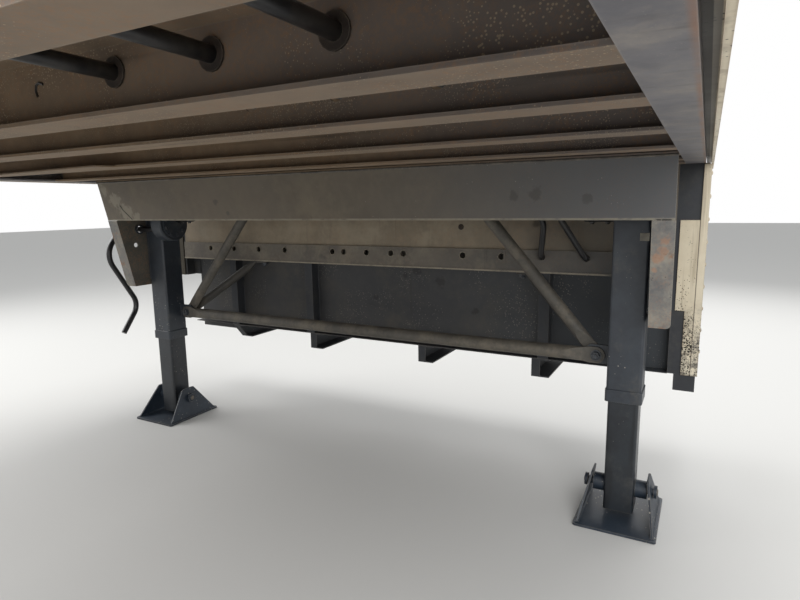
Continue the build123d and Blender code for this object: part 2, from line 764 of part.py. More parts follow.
def all_pieces():
    pieces = {"deck_floor": deck_floor()}
    for number, front in enumerate(member_fronts, start=1):
        pieces["cross_member_" + str(number)] = cross_member(front)
    pieces["carrier_plate"] = carrier_plate()
    pieces["bulkhead_upper_sheet"] = upper_sheet()
    pieces["bolting_rail"] = bolting_rail()
    pieces["bulkhead_lower_sheet"] = lower_sheet()
    pieces["bulkhead_ribs"] = bulkhead_ribs()
    pieces["bottom_longitudinals"] = bottom_longitudinals()
    pieces["belly_floor"] = belly_floor()
    pieces["conduits"] = conduits()
    pieces["conduit_grommets"] = conduit_grommets()
    # Side, its word, depth of skin and post below the deck top, and whether the post has a foot
    sides = ((1, "left", skin_drop_left, True), (-1, "right", skin_drop_right, False))
    for side, word, depth, with_foot in sides:
        pieces["side_rail_" + word] = on_side(side_rail(), side)
        pieces["side_skin_" + word] = on_side(side_skin(depth), side)
        pieces["gusset_" + word] = on_side(gusset(), side)
        pieces["corner_post_" + word] = on_side(corner_post(depth, with_foot), side)
        pieces["leg_outer_" + word] = on_side(leg_outer(side < 0), side)
        pieces["inner_leg_" + word] = on_side(inner_leg(), side)
        pieces["shoe_" + word] = on_side(shoe(), side)
        pieces["shoe_axle_" + word] = on_side(shoe_axle(), side)
    covers = [on_side(corner_cover(depth), side) for side, _, depth, _ in sides]
    pieces["corner_covers"] = Compound(children=covers)
    pieces.update(braces())
    pieces["gearbox"] = gearbox()
    pieces["cross_shaft"] = cross_shaft()
    pieces["shaft_couplings"] = shaft_couplings()
    pieces["crank_shaft"] = crank_shaft()
    pieces["crank_handle"] = crank_handle()
    return pieces


os.makedirs("parts", exist_ok=True)
for node, shape in all_pieces().items():
    export_step(shape, "parts/" + node + ".step")
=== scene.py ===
"""Looks of a semi trailer's front underframe with its landing gear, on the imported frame.

X points forward, Y to the trailer's left and Z up, in metres. Z is 0 at the deck top.
"""

import logging
import math
from dataclasses import dataclass
from enum import Enum
from typing import Iterable, Sequence

import bmesh
import bpy
from mathutils import Matrix, Quaternion, Vector


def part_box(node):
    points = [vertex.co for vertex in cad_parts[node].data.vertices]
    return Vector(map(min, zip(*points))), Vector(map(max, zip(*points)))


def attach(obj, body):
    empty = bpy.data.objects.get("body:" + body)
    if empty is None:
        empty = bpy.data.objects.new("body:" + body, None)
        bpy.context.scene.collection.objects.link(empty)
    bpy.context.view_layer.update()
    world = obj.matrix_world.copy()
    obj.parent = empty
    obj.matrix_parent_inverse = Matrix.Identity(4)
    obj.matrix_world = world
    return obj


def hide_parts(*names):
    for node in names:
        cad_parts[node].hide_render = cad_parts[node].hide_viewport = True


Colour = tuple[float, float, float]
Point = tuple[float, float, float]
# Place and radius of a blot, and place and direction of a fastener
Spot = tuple[float, float, float, float]
Seat = tuple[Point, Point]

AHEAD: Point = (1.0, 0.0, 0.0)
BACK: Point = (-1.0, 0.0, 0.0)
LEFT: Point = (0.0, 1.0, 0.0)
RIGHT: Point = (0.0, -1.0, 0.0)
UP: Point = (0.0, 0.0, 1.0)
DOWN: Point = (0.0, 0.0, -1.0)
# Factors on coordinates: none of them changed, and Z drawn out
WHOLE: Point = (1.0, 1.0, 1.0)
DOWNWARD: Point = (1.0, 1.0, 0.06)

FRAME_BODY = "underframe"
SIDES: tuple[tuple[int, str], ...] = ((1, "left"), (-1, "right"))

log = logging.getLogger("underframe")
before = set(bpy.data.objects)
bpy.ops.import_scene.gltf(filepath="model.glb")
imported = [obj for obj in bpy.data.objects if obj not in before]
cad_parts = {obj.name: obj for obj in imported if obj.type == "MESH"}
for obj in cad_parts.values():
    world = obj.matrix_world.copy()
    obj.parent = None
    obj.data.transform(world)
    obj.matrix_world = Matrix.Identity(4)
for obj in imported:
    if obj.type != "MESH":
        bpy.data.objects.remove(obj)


def shade(red: int, green: int, blue: int) -> Colour:
    """Linear colour of a screen colour.

    Args:
        red: 0 to 255.
        green: 0 to 255.
        blue: 0 to 255.

    Returns:
        The same colour as the shaders count it.
    """
    def linear(value: float) -> float:
        """One channel."""
        return value / 12.92 if value <= 0.04045 else ((value + 0.055) / 1.055) ** 2.4

    return linear(red / 255), linear(green / 255), linear(blue / 255)


def bent(points: Sequence[Point], radii: Sequence[float], steps: int = 8) -> list[Vector]:
    """Path along straight lines whose corners are rounded.

    Args:
        points: First end, corners and last end.
        radii: Bend radius of each corner.
        steps: Pieces of each bend.

    Returns:
        The points of the path.
    """
    spots = [Vector(point) for point in points]
    path = [spots[0]]
    for before, corner, after, radius in zip(spots, spots[1:], spots[2:], radii):
        back, ahead = (before - corner).normalized(), (after - corner).normalized()
        half = back.angle(ahead) / 2
        middle = corner + (back + ahead).normalized() * (radius / math.sin(half))
        start, end = (corner + way * (radius / math.tan(half)) - middle for way in (back, ahead))
        whole = start.angle(end)
        for step in range(steps + 1):
            path.append(middle + Quaternion(start.cross(end), whole * step / steps) @ start)
    return path + [spots[-1]]


class Graph:
    """Adds nodes to one node tree and joins them."""

    def __init__(self, tree: bpy.types.NodeTree) -> None:
        """Keeps the tree."""
        self.tree = tree

    def add(self, kind: str, inputs: dict[int | str, object] | None = None,
            **settings: object) -> bpy.types.Node:
        """A new node.

        Args:
            kind: Blender's name of the node type.
            inputs: What feeds its inputs, by number or name.
            settings: The node's own settings.

        Returns:
            The node.
        """
        node = self.tree.nodes.new(kind)
        for key, value in settings.items():
            setattr(node, key, value)
        for key, value in (inputs or {}).items():
            self.feed(node.inputs[key], value)
        return node

    def feed(self, socket: bpy.types.NodeSocket, value: object) -> None:
        """Links or sets an input.

        Args:
            socket: The input.
            value: An output to link, or a plain value.
        """
        if isinstance(value, bpy.types.NodeSocket):
            self.tree.links.new(value, socket)
        elif socket.type == "RGBA":
            socket.default_value = (*value, 1.0)
        else:
            socket.default_value = value

    def calc(self, operation: str, *values: object, clamp: bool = False) -> bpy.types.NodeSocket:
        """One step of arithmetic.

        Args:
            operation: The math node's operation.
            values: Its inputs in order.
            clamp: Whether the result stays between 0 and 1.

        Returns:
            The result.
        """
        node = self.add("ShaderNodeMath", dict(enumerate(values)), operation=operation, use_clamp=clamp)
        return node.outputs[0]

    def times(self, first: object, second: object) -> bpy.types.NodeSocket:
        """Product of two values."""
        return self.calc("MULTIPLY", first, second)

    def plus(self, first: object, second: object) -> bpy.types.NodeSocket:
        """Sum of two values."""
        return self.calc("ADD", first, second)

    def less(self, first: object, second: object) -> bpy.types.NodeSocket:
        """The first value less the second."""
        return self.calc("SUBTRACT", first, second)

    def line(self, value: object, slope: float, start: object) -> bpy.types.NodeSocket:
        """A value times a slope, added to a start."""
        return self.calc("MULTIPLY_ADD", value, slope, start)

    def most(self, first: object, second: object) -> bpy.types.NodeSocket:
        """The larger of two values."""
        return self.calc("MAXIMUM", first, second)

    def mix(self, mask: object, low: object, high: object) -> bpy.types.NodeSocket:
        """Two colours mixed.

        Args:
            mask: How much of the second colour shows.
            low: The first colour.
            high: The second colour.

        Returns:
            The mixed colour.
        """
        return self.add("ShaderNodeMix", {0: mask, 6: low, 7: high}, data_type="RGBA").outputs[2]

    def lay(self, colour: object, over: object, mask: object, cover: float) -> bpy.types.NodeSocket:
        """A colour laid over another.

        Args:
            colour: The colour underneath.
            over: The colour on top.
            mask: Where it lies.
            cover: How much it hides there, up to 1.

        Returns:
            The new colour.
        """
        return self.mix(self.times(mask, cover), colour, over)

    def noise(self, at: object, scale: object, detail: float, rough: float) -> bpy.types.NodeSocket:
        """Cloudy noise between 0 and 1.

        Args:
            at: Where it is read.
            scale: Clouds per metre.
            detail: Octaves.
            rough: Strength of the fine octaves.

        Returns:
            The noise.
        """
        given = {"Vector": at, "Scale": scale, "Detail": detail, "Roughness": rough}
        return self.add("ShaderNodeTexNoise", given).outputs["Fac"]

    def step(self, value: object, low: object, high: object) -> bpy.types.NodeSocket:
        """Smooth step from 0 to 1.

        Args:
            value: What is stepped.
            low: Where it starts.
            high: Where it is 1.

        Returns:
            The stepped value.
        """
        given = {"Value": value, "From Min": low, "From Max": high}
        return self.add("ShaderNodeMapRange", given, interpolation_type="SMOOTHSTEP").outputs[0]

    def stretch(self, at: object, scale: Point, shift: Point = (0.0, 0.0, 0.0)) -> bpy.types.NodeSocket:
        """Coordinates scaled and moved.

        Args:
            at: The coordinates.
            scale: Factor on each axis.
            shift: What is added.

        Returns:
            The new coordinates.
        """
        given = {"Vector": at, "Scale": scale, "Location": shift}
        return self.add("ShaderNodeMapping", given).outputs[0]

    def part(self, vector: bpy.types.NodeSocket, axis: int) -> bpy.types.NodeSocket:
        """One coordinate of a vector: 0, 1 or 2 for X, Y or Z."""
        return self.add("ShaderNodeSeparateXYZ", {0: vector}).outputs[axis]


class Effects:
    """Shader node groups that several finishes share."""

    def __init__(self) -> None:
        """Builds each group once."""
        self.film = self._film()
        self.rust = self._rust()
        self.runs = self._runs()
        self.specks = self._specks()
        self.stains = self._stains()
        self.edges = self._edges()
        self.grain = self._grain()

    @staticmethod
    def _group(name: str, values: dict[str, float], outputs: Sequence[str] = ("Mask",),
               vectors: Sequence[str] = ("At",)) -> tuple[Graph, dict, dict]:
        """An empty group with its sockets.

        Args:
            name: The group's name.
            values: Its number inputs and their defaults.
            outputs: Its outputs, which are numbers.
            vectors: Its coordinate inputs.

        Returns:
            The graph, the inputs and the outputs by name.
        """
        tree = bpy.data.node_groups.new(name, "ShaderNodeTree")
        face = tree.interface
        for key in vectors:
            face.new_socket(name=key, in_out="INPUT", socket_type="NodeSocketVector")
        for key, value in values.items():
            face.new_socket(name=key, in_out="INPUT", socket_type="NodeSocketFloat").default_value = value
        for key in outputs:
            face.new_socket(name=key, in_out="OUTPUT", socket_type="NodeSocketFloat")
        graph = Graph(tree)
        return graph, graph.add("NodeGroupInput").outputs, graph.add("NodeGroupOutput").inputs

    @staticmethod
    def _level(graph: Graph, amount: object, none: float, share: float) -> bpy.types.NodeSocket:
        """Noise level above which an effect shows: what hides it all, less a share of its amount."""
        return graph.less(none, graph.times(amount, share))

    def _film(self) -> bpy.types.NodeTree:
        """Uneven film of road dust.

        Returns:
            The group.
        """
        graph, given, out = self._group("Dust film", {"Scale": 4.0, "Amount": 0.5, "Softness": 0.1})
        coarse = graph.noise(given["At"], given["Scale"], 5.0, 0.6)
        fine = graph.noise(given["At"], graph.times(given["Scale"], 7.3), 4.0, 0.6)
        both = graph.plus(graph.times(coarse, 0.72), graph.times(fine, 0.28))
        level = self._level(graph, given["Amount"], 0.75, 0.5)
        low, high = graph.less(level, given["Softness"]), graph.plus(level, given["Softness"])
        graph.feed(out["Mask"], graph.step(both, low, high))
        return graph.tree

    def _rust(self) -> bpy.types.NodeTree:
        """Rust patches with ragged edges, and how bright the rust is.

        Returns:
            The group.
        """
        graph, given, out = self._group("Rust patches", {"Scale": 6.0, "Amount": 0.3}, ("Mask", "Tone"))
        coarse = graph.noise(given["At"], given["Scale"], 9.0, 0.7)
        level = self._level(graph, given["Amount"], 0.75, 0.5)
        graph.feed(out["Mask"], graph.step(coarse, level, graph.plus(level, 0.11)))
        tone = graph.noise(given["At"], graph.times(given["Scale"], 9.0), 4.0, 0.65)
        graph.feed(out["Tone"], graph.step(tone, 0.32, 0.68))
        return graph.tree

    def _runs(self) -> bpy.types.NodeTree:
        """Marks drawn out along one direction, such as water that ran down.

        Returns:
            The group.
        """
        graph, given, out = self._group("Run marks", {"Scale": 30.0, "Amount": 0.4},
                                        vectors=("At", "Place"))
        fine = graph.noise(given["At"], given["Scale"], 3.0, 0.6)
        broad = graph.noise(given["Place"], 3.0, 2.0, 0.5)
        level = self._level(graph, given["Amount"], 0.8, 0.5)
        marks = graph.step(fine, level, graph.plus(level, 0.18))
        graph.feed(out["Mask"], graph.times(marks, graph.step(broad, 0.35, 0.6)))
        return graph.tree

    def _stains(self) -> bpy.types.NodeTree:
        """A few soft dark blots.

        Returns:
            The group.
        """
        graph, given, out = self._group("Stains", {"Scale": 9.0, "Amount": 0.5})
        moved = graph.stretch(given["At"], WHOLE, (5.3, 2.9, 7.1))
        blots = graph.noise(moved, given["Scale"], 2.0, 0.45)
        level = self._level(graph, given["Amount"], 0.86, 0.36)
        graph.feed(out["Mask"], graph.step(blots, level, graph.plus(level, 0.07)))
        return graph.tree

    def _specks(self) -> bpy.types.NodeTree:
        """Small chips and splashes, thicker in some places.

        Returns:
            The group.
        """
        graph, given, out = self._group("Specks", {"Scale": 70.0, "Amount": 0.4})
        cells = graph.add("ShaderNodeTexVoronoi", {"Vector": given["At"], "Scale": given["Scale"]},
                          feature="F1")
        crowd = graph.step(graph.noise(given["At"], 4.0, 4.0, 0.65), 0.36, 0.62)
        most = graph.times(graph.times(crowd, given["Amount"]), 0.55)
        luck = graph.add("ShaderNodeSeparateColor", {0: cells.outputs["Color"]}).outputs[0]
        inside = graph.less(graph.times(most, luck), cells.outputs["Distance"])
        graph.feed(out["Mask"], graph.step(inside, 0.0, 0.05))
        return graph.tree

    def _edges(self) -> bpy.types.NodeTree:
        """Outer edges, where paint wears through.

        Returns:
            The group.
        """
        graph, given, out = self._group("Edge wear", {"Width": 0.004, "Amount": 0.5})
        rounded = graph.add("ShaderNodeBevel", {"Radius": given["Width"]}, samples=4).outputs[0]
        plain = graph.add("ShaderNodeNewGeometry").outputs["Normal"]
        turn = graph.add("ShaderNodeVectorMath", {0: rounded, 1: plain}, operation="DOT_PRODUCT")
        away = graph.step(graph.less(1.0, turn.outputs["Value"]), 0.02, 0.2)
        ragged = graph.times(graph.noise(given["At"], 45.0, 4.0, 0.6), given["Amount"])
        graph.feed(out["Mask"], graph.calc("MULTIPLY", away, ragged, clamp=True))
        return graph.tree

    def _grain(self) -> bpy.types.NodeTree:
        """Fine unevenness of a rolled or sprayed face.

        Returns:
            The group.
        """
        graph, given, out = self._group("Fine grain", {"Scale": 160.0}, ("Height",))
        fine = graph.noise(given["At"], given["Scale"], 3.0, 0.6)
        broad = graph.noise(given["At"], 9.0, 2.0, 0.5)
        graph.feed(out["Height"], graph.plus(graph.times(fine, 0.35), broad))
        return graph.tree


effects = Effects()


class Painter:
    """One material in the making: its graph, its coordinates and its shader."""

    def __init__(self, name: str) -> None:
        """Makes the material with an object coordinate and a plain shader.

        Args:
            name: The material's name.
        """
        self.made = bpy.data.materials.new(name)
        self.made.use_nodes = True
        self.graph = Graph(self.made.node_tree)
        self.shader = self.made.node_tree.nodes["Principled BSDF"]
        self.at = self.graph.add("ShaderNodeTexCoord").outputs["Object"]

    def use(self, group: bpy.types.NodeTree, **values: object) -> bpy.types.Node:
        """Places a shared effect.

        Args:
            group: The effect.
            values: Its inputs by name.

        Returns:
            The group's node.
        """
        return self.graph.add("ShaderNodeGroup", {"At": self.at, **values}, node_tree=group)

    def facing(self, way: Point) -> bpy.types.NodeSocket:
        """Mask of the faces that look one way.

        Args:
            way: Direction along one axis.

        Returns:
            The mask.
        """
        axis = max(range(3), key=lambda index: abs(way[index]))
        normal = self.graph.add("ShaderNodeTexCoord").outputs["Normal"]
        return self.graph.step(self.graph.times(self.graph.part(normal, axis), way[axis]), 0.6, 0.9)

    def place(self, axis: int, apart: bool = False) -> bpy.types.NodeSocket:
        """Coordinate along one axis.

        Args:
            axis: 0, 1 or 2 for X, Y or Z.
            apart: Whether both sides of the middle count alike.

        Returns:
            The coordinate.
        """
        along = self.graph.part(self.at, axis)
        return self.graph.calc("ABSOLUTE", along) if apart else along

    def blots(self, spots: Sequence[Spot]) -> bpy.types.NodeSocket:
        """Ragged blots at known places.

        Args:
            spots: X, Y, Z and radius of each.

        Returns:
            The mask.
        """
        ragged = self.graph.less(self.graph.noise(self.at, 32.0, 5.0, 0.65), 0.5)
        total: object = 0.0
        for *centre, radius in spots:
            away = self.graph.add("ShaderNodeVectorMath", {0: self.at, 1: centre}, operation="DISTANCE")
            rim = self.graph.line(ragged, radius * 2.6, away.outputs["Value"])
            total = self.graph.most(total, self.graph.step(rim, radius, radius * 0.5))
        return total

    def marks(self, along: Point, amount: float) -> bpy.types.NodeSocket:
        """Run marks drawn out along one direction.

        Args:
            along: Factor on each axis, small where the marks are long.
            amount: How many there are.

        Returns:
            The mask.
        """
        at = self.graph.stretch(self.at, along)
        return self.use(effects.runs, At=at, Place=self.at, Amount=amount).outputs[0]

    def bump(self, height: object, strength: float, distance: float = 0.001) -> None:
        """Feeds a height to the shader's normal.

        Args:
            height: The height.
            strength: How strong it is.
            distance: Its depth in metres.
        """
        given = {"Strength": strength, "Distance": distance, "Height": height}
        self.set("Normal", self.graph.add("ShaderNodeBump", given).outputs[0])

    def set(self, name: str, value: object) -> None:
        """Feeds one input of the shader."""
        self.graph.feed(self.shader.inputs[name], value)


@dataclass(frozen=True)
class PaintedSteel:
    """Painted steel under road dust, with rust, runs, specks, stains, worn edges, and painted light and
    shade where set.
    """

    name: str
    paint: Colour
    second: Colour
    dust: Colour
    patch: float = 5.0
    rough: float = 0.62
    metal: float = 0.0
    relief: float = 0.25
    # Dust everywhere; on faces that look down, more dust together with painted light from below
    film: float = 0.35
    under: float = 0.0
    dust_cover: float = 0.75
    # Rust in patches, and as fine grit
    rust: float = 0.0
    rust_deep: Colour = shade(62, 43, 33)
    rust_bright: Colour = shade(116, 82, 58)
    rust_cover: float = 0.85
    mottle: float = 0.0
    # Marks drawn out along one direction
    runs: float = 0.0
    run_along: Point = DOWNWARD
    run_colour: Colour = shade(34, 30, 26)
    run_cover: float = 0.6
    specks: float = 0.0
    speck_scale: float = 80.0
    speck_colour: Colour = shade(150, 145, 135)
    speck_cover: float = 0.8
    stains: float = 0.0
    stain_colour: Colour = shade(26, 24, 22)
    stain_cover: float = 0.7
    # Blots at known places: dark spots, bare patches and rusty scabs
    spots: tuple[Spot, ...] = ()
    patches: tuple[Spot, ...] = ()
    scabs: tuple[Spot, ...] = ()
    blot_cover: float = 0.5
    # Painted shade: a darker, cooler colour towards the left side, and a darker tone on faces that look
    # sideways
    washed: float = 0.0
    washed_from: float = 0.1
    washed_full: float = 1.15
    clean: Colour = shade(86, 88, 94)
    sides: float = 0.0
    side_shade_colour: Colour = shade(68, 65, 55)
    # Y of a rusty outer rim and Z of a worn lower lip
    rim: float = 0.0
    rim_cover: float = 0.8
    lip: float = 0.0
    lip_cover: float = 0.7
    wear: float = 0.5
    wear_width: float = 0.003
    worn: Colour = shade(140, 132, 120)

    def material(self) -> bpy.types.Material:
        """Builds the paint, from its coat to the rust on top.

        Returns:
            The material.
        """
        art = Painter(self.name)
        graph = art.graph
        tone = art.use(effects.film, Scale=self.patch, Amount=0.5, Softness=0.16).outputs[0]
        colour = graph.mix(tone, self.paint, self.second)
        film = self.dust_and_underlight(art)
        colour = graph.lay(colour, self.dust, film, self.dust_cover)
        colour = self.faced(art, colour)
        colour = self.edged(art, self.marked(art, colour))
        rough = graph.line(film, 0.18, self.rough)
        if self.rust:
            rusty = art.use(effects.rust, Scale=self.patch * 1.3, Amount=self.rust)
            red = graph.mix(rusty.outputs["Tone"], self.rust_deep, self.rust_bright)
            colour = graph.lay(colour, red, rusty.outputs["Mask"], self.rust_cover)
            rough = graph.line(rusty.outputs["Mask"], 0.2, rough)
        art.set("Base Color", colour)
        art.set("Roughness", graph.calc("MINIMUM", rough, 0.95))
        art.set("Metallic", self.metal)
        art.bump(art.use(effects.grain).outputs[0], self.relief)
        return art.made

    def dust_and_underlight(self, art: Painter) -> bpy.types.NodeSocket:
        """Film of dust, thicker and drawn out on faces that look down, where it also paints light from
        below.

        Args:
            art: The material.

        Returns:
            The mask.
        """
        graph = art.graph
        shifted = graph.stretch(art.at, WHOLE, (3.1, 1.7, 0.9))
        film = art.use(effects.film, At=shifted, Scale=self.patch * 1.7, Amount=self.film,
                       Softness=0.14).outputs[0]
        # Faces that look down: lighter streaks of dust and painted light from below
        if self.under:
            streaks = graph.line(art.marks(self.run_along, 0.9), 0.6, 0.4)
            film = graph.most(film, graph.times(graph.times(art.facing(DOWN), self.under), streaks))
        return film

    def faced(self, art: Painter, colour: bpy.types.NodeSocket) -> bpy.types.NodeSocket:
        """Painted shade: a darker, cooler colour towards the left side, and a darker tone on faces that
        look sideways.

        Args:
            art: The material.
            colour: The paint's colour.

        Returns:
            The new colour.
        """
        graph = art.graph
        # Painted shade towards the left side, weaker on faces that look down
        if self.washed:
            outer = graph.times(graph.step(art.place(1), self.washed_from, self.washed_full), self.washed)
            if self.under:
                outer = graph.times(outer, graph.less(1.0, graph.times(art.facing(DOWN), 0.55)))
            colour = graph.mix(outer, colour, self.clean)
        # Painted shade on faces that look sideways
        if self.sides:
            both = graph.most(art.facing(LEFT), art.facing(RIGHT))
            colour = graph.lay(colour, self.side_shade_colour, both, self.sides)
        return colour

    def marked(self, art: Painter, colour: bpy.types.NodeSocket) -> bpy.types.NodeSocket:
        """Grit, runs, stains, blots and specks over the paint.

        Args:
            art: The material.
            colour: The paint's colour.

        Returns:
            The colour with its marks.
        """
        graph = art.graph
        if self.mottle:
            grit = graph.step(graph.noise(art.at, 150.0, 6.0, 0.8), 0.46, 0.62)
            crowd = graph.step(graph.noise(art.at, 11.0, 4.0, 0.6), 0.35, 0.6)
            colour = graph.lay(colour, self.rust_bright, graph.times(grit, crowd), self.mottle)
        if self.runs:
            marks = art.marks(self.run_along, self.runs)
            colour = graph.lay(colour, self.run_colour, marks, self.run_cover)
        if self.stains:
            stains = art.use(effects.stains, Amount=self.stains).outputs[0]
            colour = graph.lay(colour, self.stain_colour, stains, self.stain_cover)
        for spots, over in ((self.spots, self.stain_colour), (self.patches, self.worn),
                            (self.scabs, self.rust_bright)):
            if spots:
                colour = graph.lay(colour, over, art.blots(spots), self.blot_cover)
        if self.specks:
            flecks = art.use(effects.specks, Scale=self.speck_scale, Amount=self.specks).outputs[0]
            colour = graph.lay(colour, self.speck_colour, flecks, self.speck_cover)
        return colour

    def edged(self, art: Painter, colour: bpy.types.NodeSocket) -> bpy.types.NodeSocket:
        """Rusty rim, worn lip and worn edges over the paint.

        Args:
            art: The material.
            colour: The paint's colour.

        Returns:
            The colour with its edges.
        """
        graph = art.graph
        if self.rim:
            band = graph.step(art.place(1, apart=True), self.rim - 0.009, self.rim - 0.002)
            ragged = graph.step(graph.noise(art.at, 14.0, 5.0, 0.65), 0.2, 0.7)
            band = graph.times(graph.times(band, art.facing(DOWN)), ragged)
            colour = graph.lay(colour, self.rust_bright, band, self.rim_cover)
        if self.lip:
            light = graph.step(art.place(2), self.lip + 0.008, self.lip + 0.005)
            ragged = graph.step(graph.noise(art.at, 25.0, 4.0, 0.6), 0.2, 0.6)
            light = graph.times(graph.times(light, ragged), art.facing(AHEAD))
            colour = graph.lay(colour, self.worn, light, self.lip_cover)
        if self.wear:
            edges = art.use(effects.edges, Width=self.wear_width, Amount=self.wear).outputs[0]
            colour = graph.mix(edges, colour, self.worn)
        return colour


@dataclass(frozen=True)
class WallPaint:
    """Cream wall paint with chips, dirt that ran down, rusty edges, grime near the ground, and painted
    shade in the gap beside the rail and on the right corner.
    """

    name: str
    paint: Colour = shade(222, 213, 192)
    second: Colour = shade(204, 192, 168)
    dirt: Colour = shade(128, 112, 90)
    dirt_cover: float = 0.45
    # Grime below a height, as grey clouds and as black pits
    grime: Colour = shade(92, 88, 82)
    grime_cover: float = 0.8
    grime_top: float = -0.56
    grime_depth: float = 0.22
    pit_cover: float = 0.85
    chip: Colour = shade(40, 36, 32)
    chips: float = 0.6
    rust: float = 0.16
    rust_deep: Colour = shade(74, 50, 38)
    rust_bright: Colour = shade(138, 96, 66)
    # Y of both edges of the gap beside the rail, and of the fold at the wall's front end
    gap: tuple[float, float] = (1.2800, 1.2865)
    fold_y: float = 1.268
    joint: Colour = shade(34, 30, 27)
    gap_edge_grey: Colour = shade(112, 109, 105)
    # Painted shade on the right corner: dark brown on its front or all round, and matt where shine is low
    shaded: Colour = shade(42, 38, 31)
    shaded_cover: float = 0.92
    all_round: bool = False
    shine: float = 0.5

    def material(self) -> bpy.types.Material:
        """Builds the wall paint.

        Returns:
            The material.
        """
        art = Painter(self.name)
        graph = art.graph
        tone = art.use(effects.film, Scale=3.0, Amount=0.5, Softness=0.2).outputs[0]
        colour = graph.mix(tone, self.paint, self.second)
        colour = graph.lay(colour, self.dirt, art.marks(DOWNWARD, 0.6), self.dirt_cover)
        low = graph.step(art.place(2), self.grime_top, self.grime_top - self.grime_depth)
        cloudy = graph.step(graph.noise(art.at, 38.0, 5.0, 0.7), 0.4, 0.6)
        colour = graph.lay(colour, self.grime, graph.times(cloudy, low), self.grime_cover)
        pits = graph.step(graph.noise(art.at, 120.0, 6.0, 0.75), 0.51, 0.57)
        colour = graph.lay(colour, self.chip, graph.times(pits, low), self.pit_cover)
        edges = art.use(effects.edges, Width=0.005, Amount=1.1).outputs[0]
        rusty = art.use(effects.rust, Scale=14.0, Amount=self.rust)
        red = graph.mix(rusty.outputs["Tone"], self.rust_deep, self.rust_bright)
        colour = graph.mix(graph.most(rusty.outputs["Mask"], graph.times(edges, 0.7)), colour, red)
        amount = graph.line(low, 0.5, self.chips)
        flecks = art.use(effects.specks, Scale=130.0, Amount=amount).outputs[0]
        colour = graph.mix(flecks, colour, self.chip)
        art.set("Base Color", self.joints_and_painted_shade(art, colour))
        art.set("Roughness", graph.line(tone, 0.15, 0.45))
        # Specular level; low on the cover plates, so that the painted shade on the right one stays dark
        art.set("Specular IOR Level", self.shine)
        art.bump(graph.less(art.use(effects.grain, Scale=90.0).outputs[0], flecks), 0.3)
        return art.made

    def joints_and_painted_shade(self, art: Painter, colour: bpy.types.NodeSocket) -> bpy.types.NodeSocket:
        """Painted shade in the gap beside the rail, a grey band at its edge, a dark line at the fold, and
        painted shade on the right corner.

        Args:
            art: The material.
            colour: The paint's colour.

        Returns:
            The colour with these lines and the painted shade.
        """
        graph = art.graph
        apart, below, ahead = art.place(1, apart=True), art.facing(DOWN), art.facing(AHEAD)
        near, far = self.gap
        # Painted shade in the gap beside the rail: on faces that look down, a grey band, then near black
        # further in
        for edge, over, cover in ((far, self.gap_edge_grey, 0.85), (near, self.joint, 0.9)):
            band = graph.times(graph.step(apart, edge + 0.001, edge), below)
            colour = graph.lay(colour, over, band, cover)
        off = graph.calc("ABSOLUTE", graph.less(apart, self.fold_y))
        fold = graph.times(graph.step(off, 0.0018, 0.0008), ahead)
        colour = graph.lay(colour, self.joint, fold, 0.75)
        # Painted shade on the right corner, beyond Y -1.0: dark brown on faces that look ahead, or on all
        # faces
        right = graph.times(graph.step(art.place(1), -1.0, -1.1), 1.0 if self.all_round else ahead)
        return graph.lay(colour, self.shaded, right, self.shaded_cover)


@dataclass(frozen=True)
class FloorBoards:
    """Worn hardwood boards that run lengthwise."""

    name: str
    pale: Colour = shade(138, 114, 86)
    deep: Colour = shade(84, 66, 48)
    grime: Colour = shade(58, 50, 42)
    grime_cover: float = 0.6
    boards_per_metre: float = 7.02
    uneven: float = 0.45
    grain: Point = (0.7, 26.0, 26.0)

    def material(self) -> bpy.types.Material:
        """Builds the wood.

        Returns:
            The material.
        """
        art = Painter(self.name)
        graph = art.graph
        lines = graph.noise(graph.stretch(art.at, self.grain), 4.0, 6.0, 0.65)
        colour = graph.mix(graph.step(lines, 0.3, 0.7), self.deep, self.pale)
        row = graph.calc("FLOOR", graph.times(art.place(1), self.boards_per_metre))
        luck = graph.add("ShaderNodeTexWhiteNoise", noise_dimensions="1D")
        graph.feed(luck.inputs["W"], row)
        colour = graph.lay(colour, self.deep, luck.outputs["Value"], self.uneven)
        film = art.use(effects.film, Scale=3.0, Amount=0.55, Softness=0.14).outputs[0]
        art.set("Base Color", graph.lay(colour, self.grime, film, self.grime_cover))
        art.set("Roughness", graph.line(lines, 0.2, 0.65))
        art.bump(lines, 0.6, 0.002)
        return art.made


@dataclass(frozen=True)
class LinePlastic:
    """Black plastic of the lines, dulled by dust on top."""

    name: str
    colour: Colour = shade(20, 20, 22)
    dust: Colour = shade(98, 90, 79)
    film_cover: float = 0.2
    top_cover: float = 0.6

    def material(self) -> bpy.types.Material:
        """Builds the plastic.

        Returns:
            The material.
        """
        art = Painter(self.name)
        graph = art.graph
        film = art.use(effects.film, Scale=12.0, Amount=0.4, Softness=0.15).outputs[0]
        dusty = graph.most(graph.times(film, self.film_cover), graph.times(art.facing(UP), self.top_cover))
        art.set("Base Color", graph.mix(dusty, self.colour, self.dust))
        art.set("Roughness", graph.line(dusty, 0.4, 0.38))
        art.bump(art.use(effects.grain, Scale=300.0).outputs[0], 0.15)
        return art.made


def painted(name: str, paint: Colour, second: Colour, dust: Colour,
            **marks: object) -> bpy.types.Material:
    """Material of painted steel.

    Args:
        name: Its name.
        paint: Its colour.
        second: The colour of its patches.
        dust: The colour of the dust on it.
        marks: The other fields of PaintedSteel.

    Returns:
        The material.
    """
    return PaintedSteel(name, paint, second, dust, **marks).material()


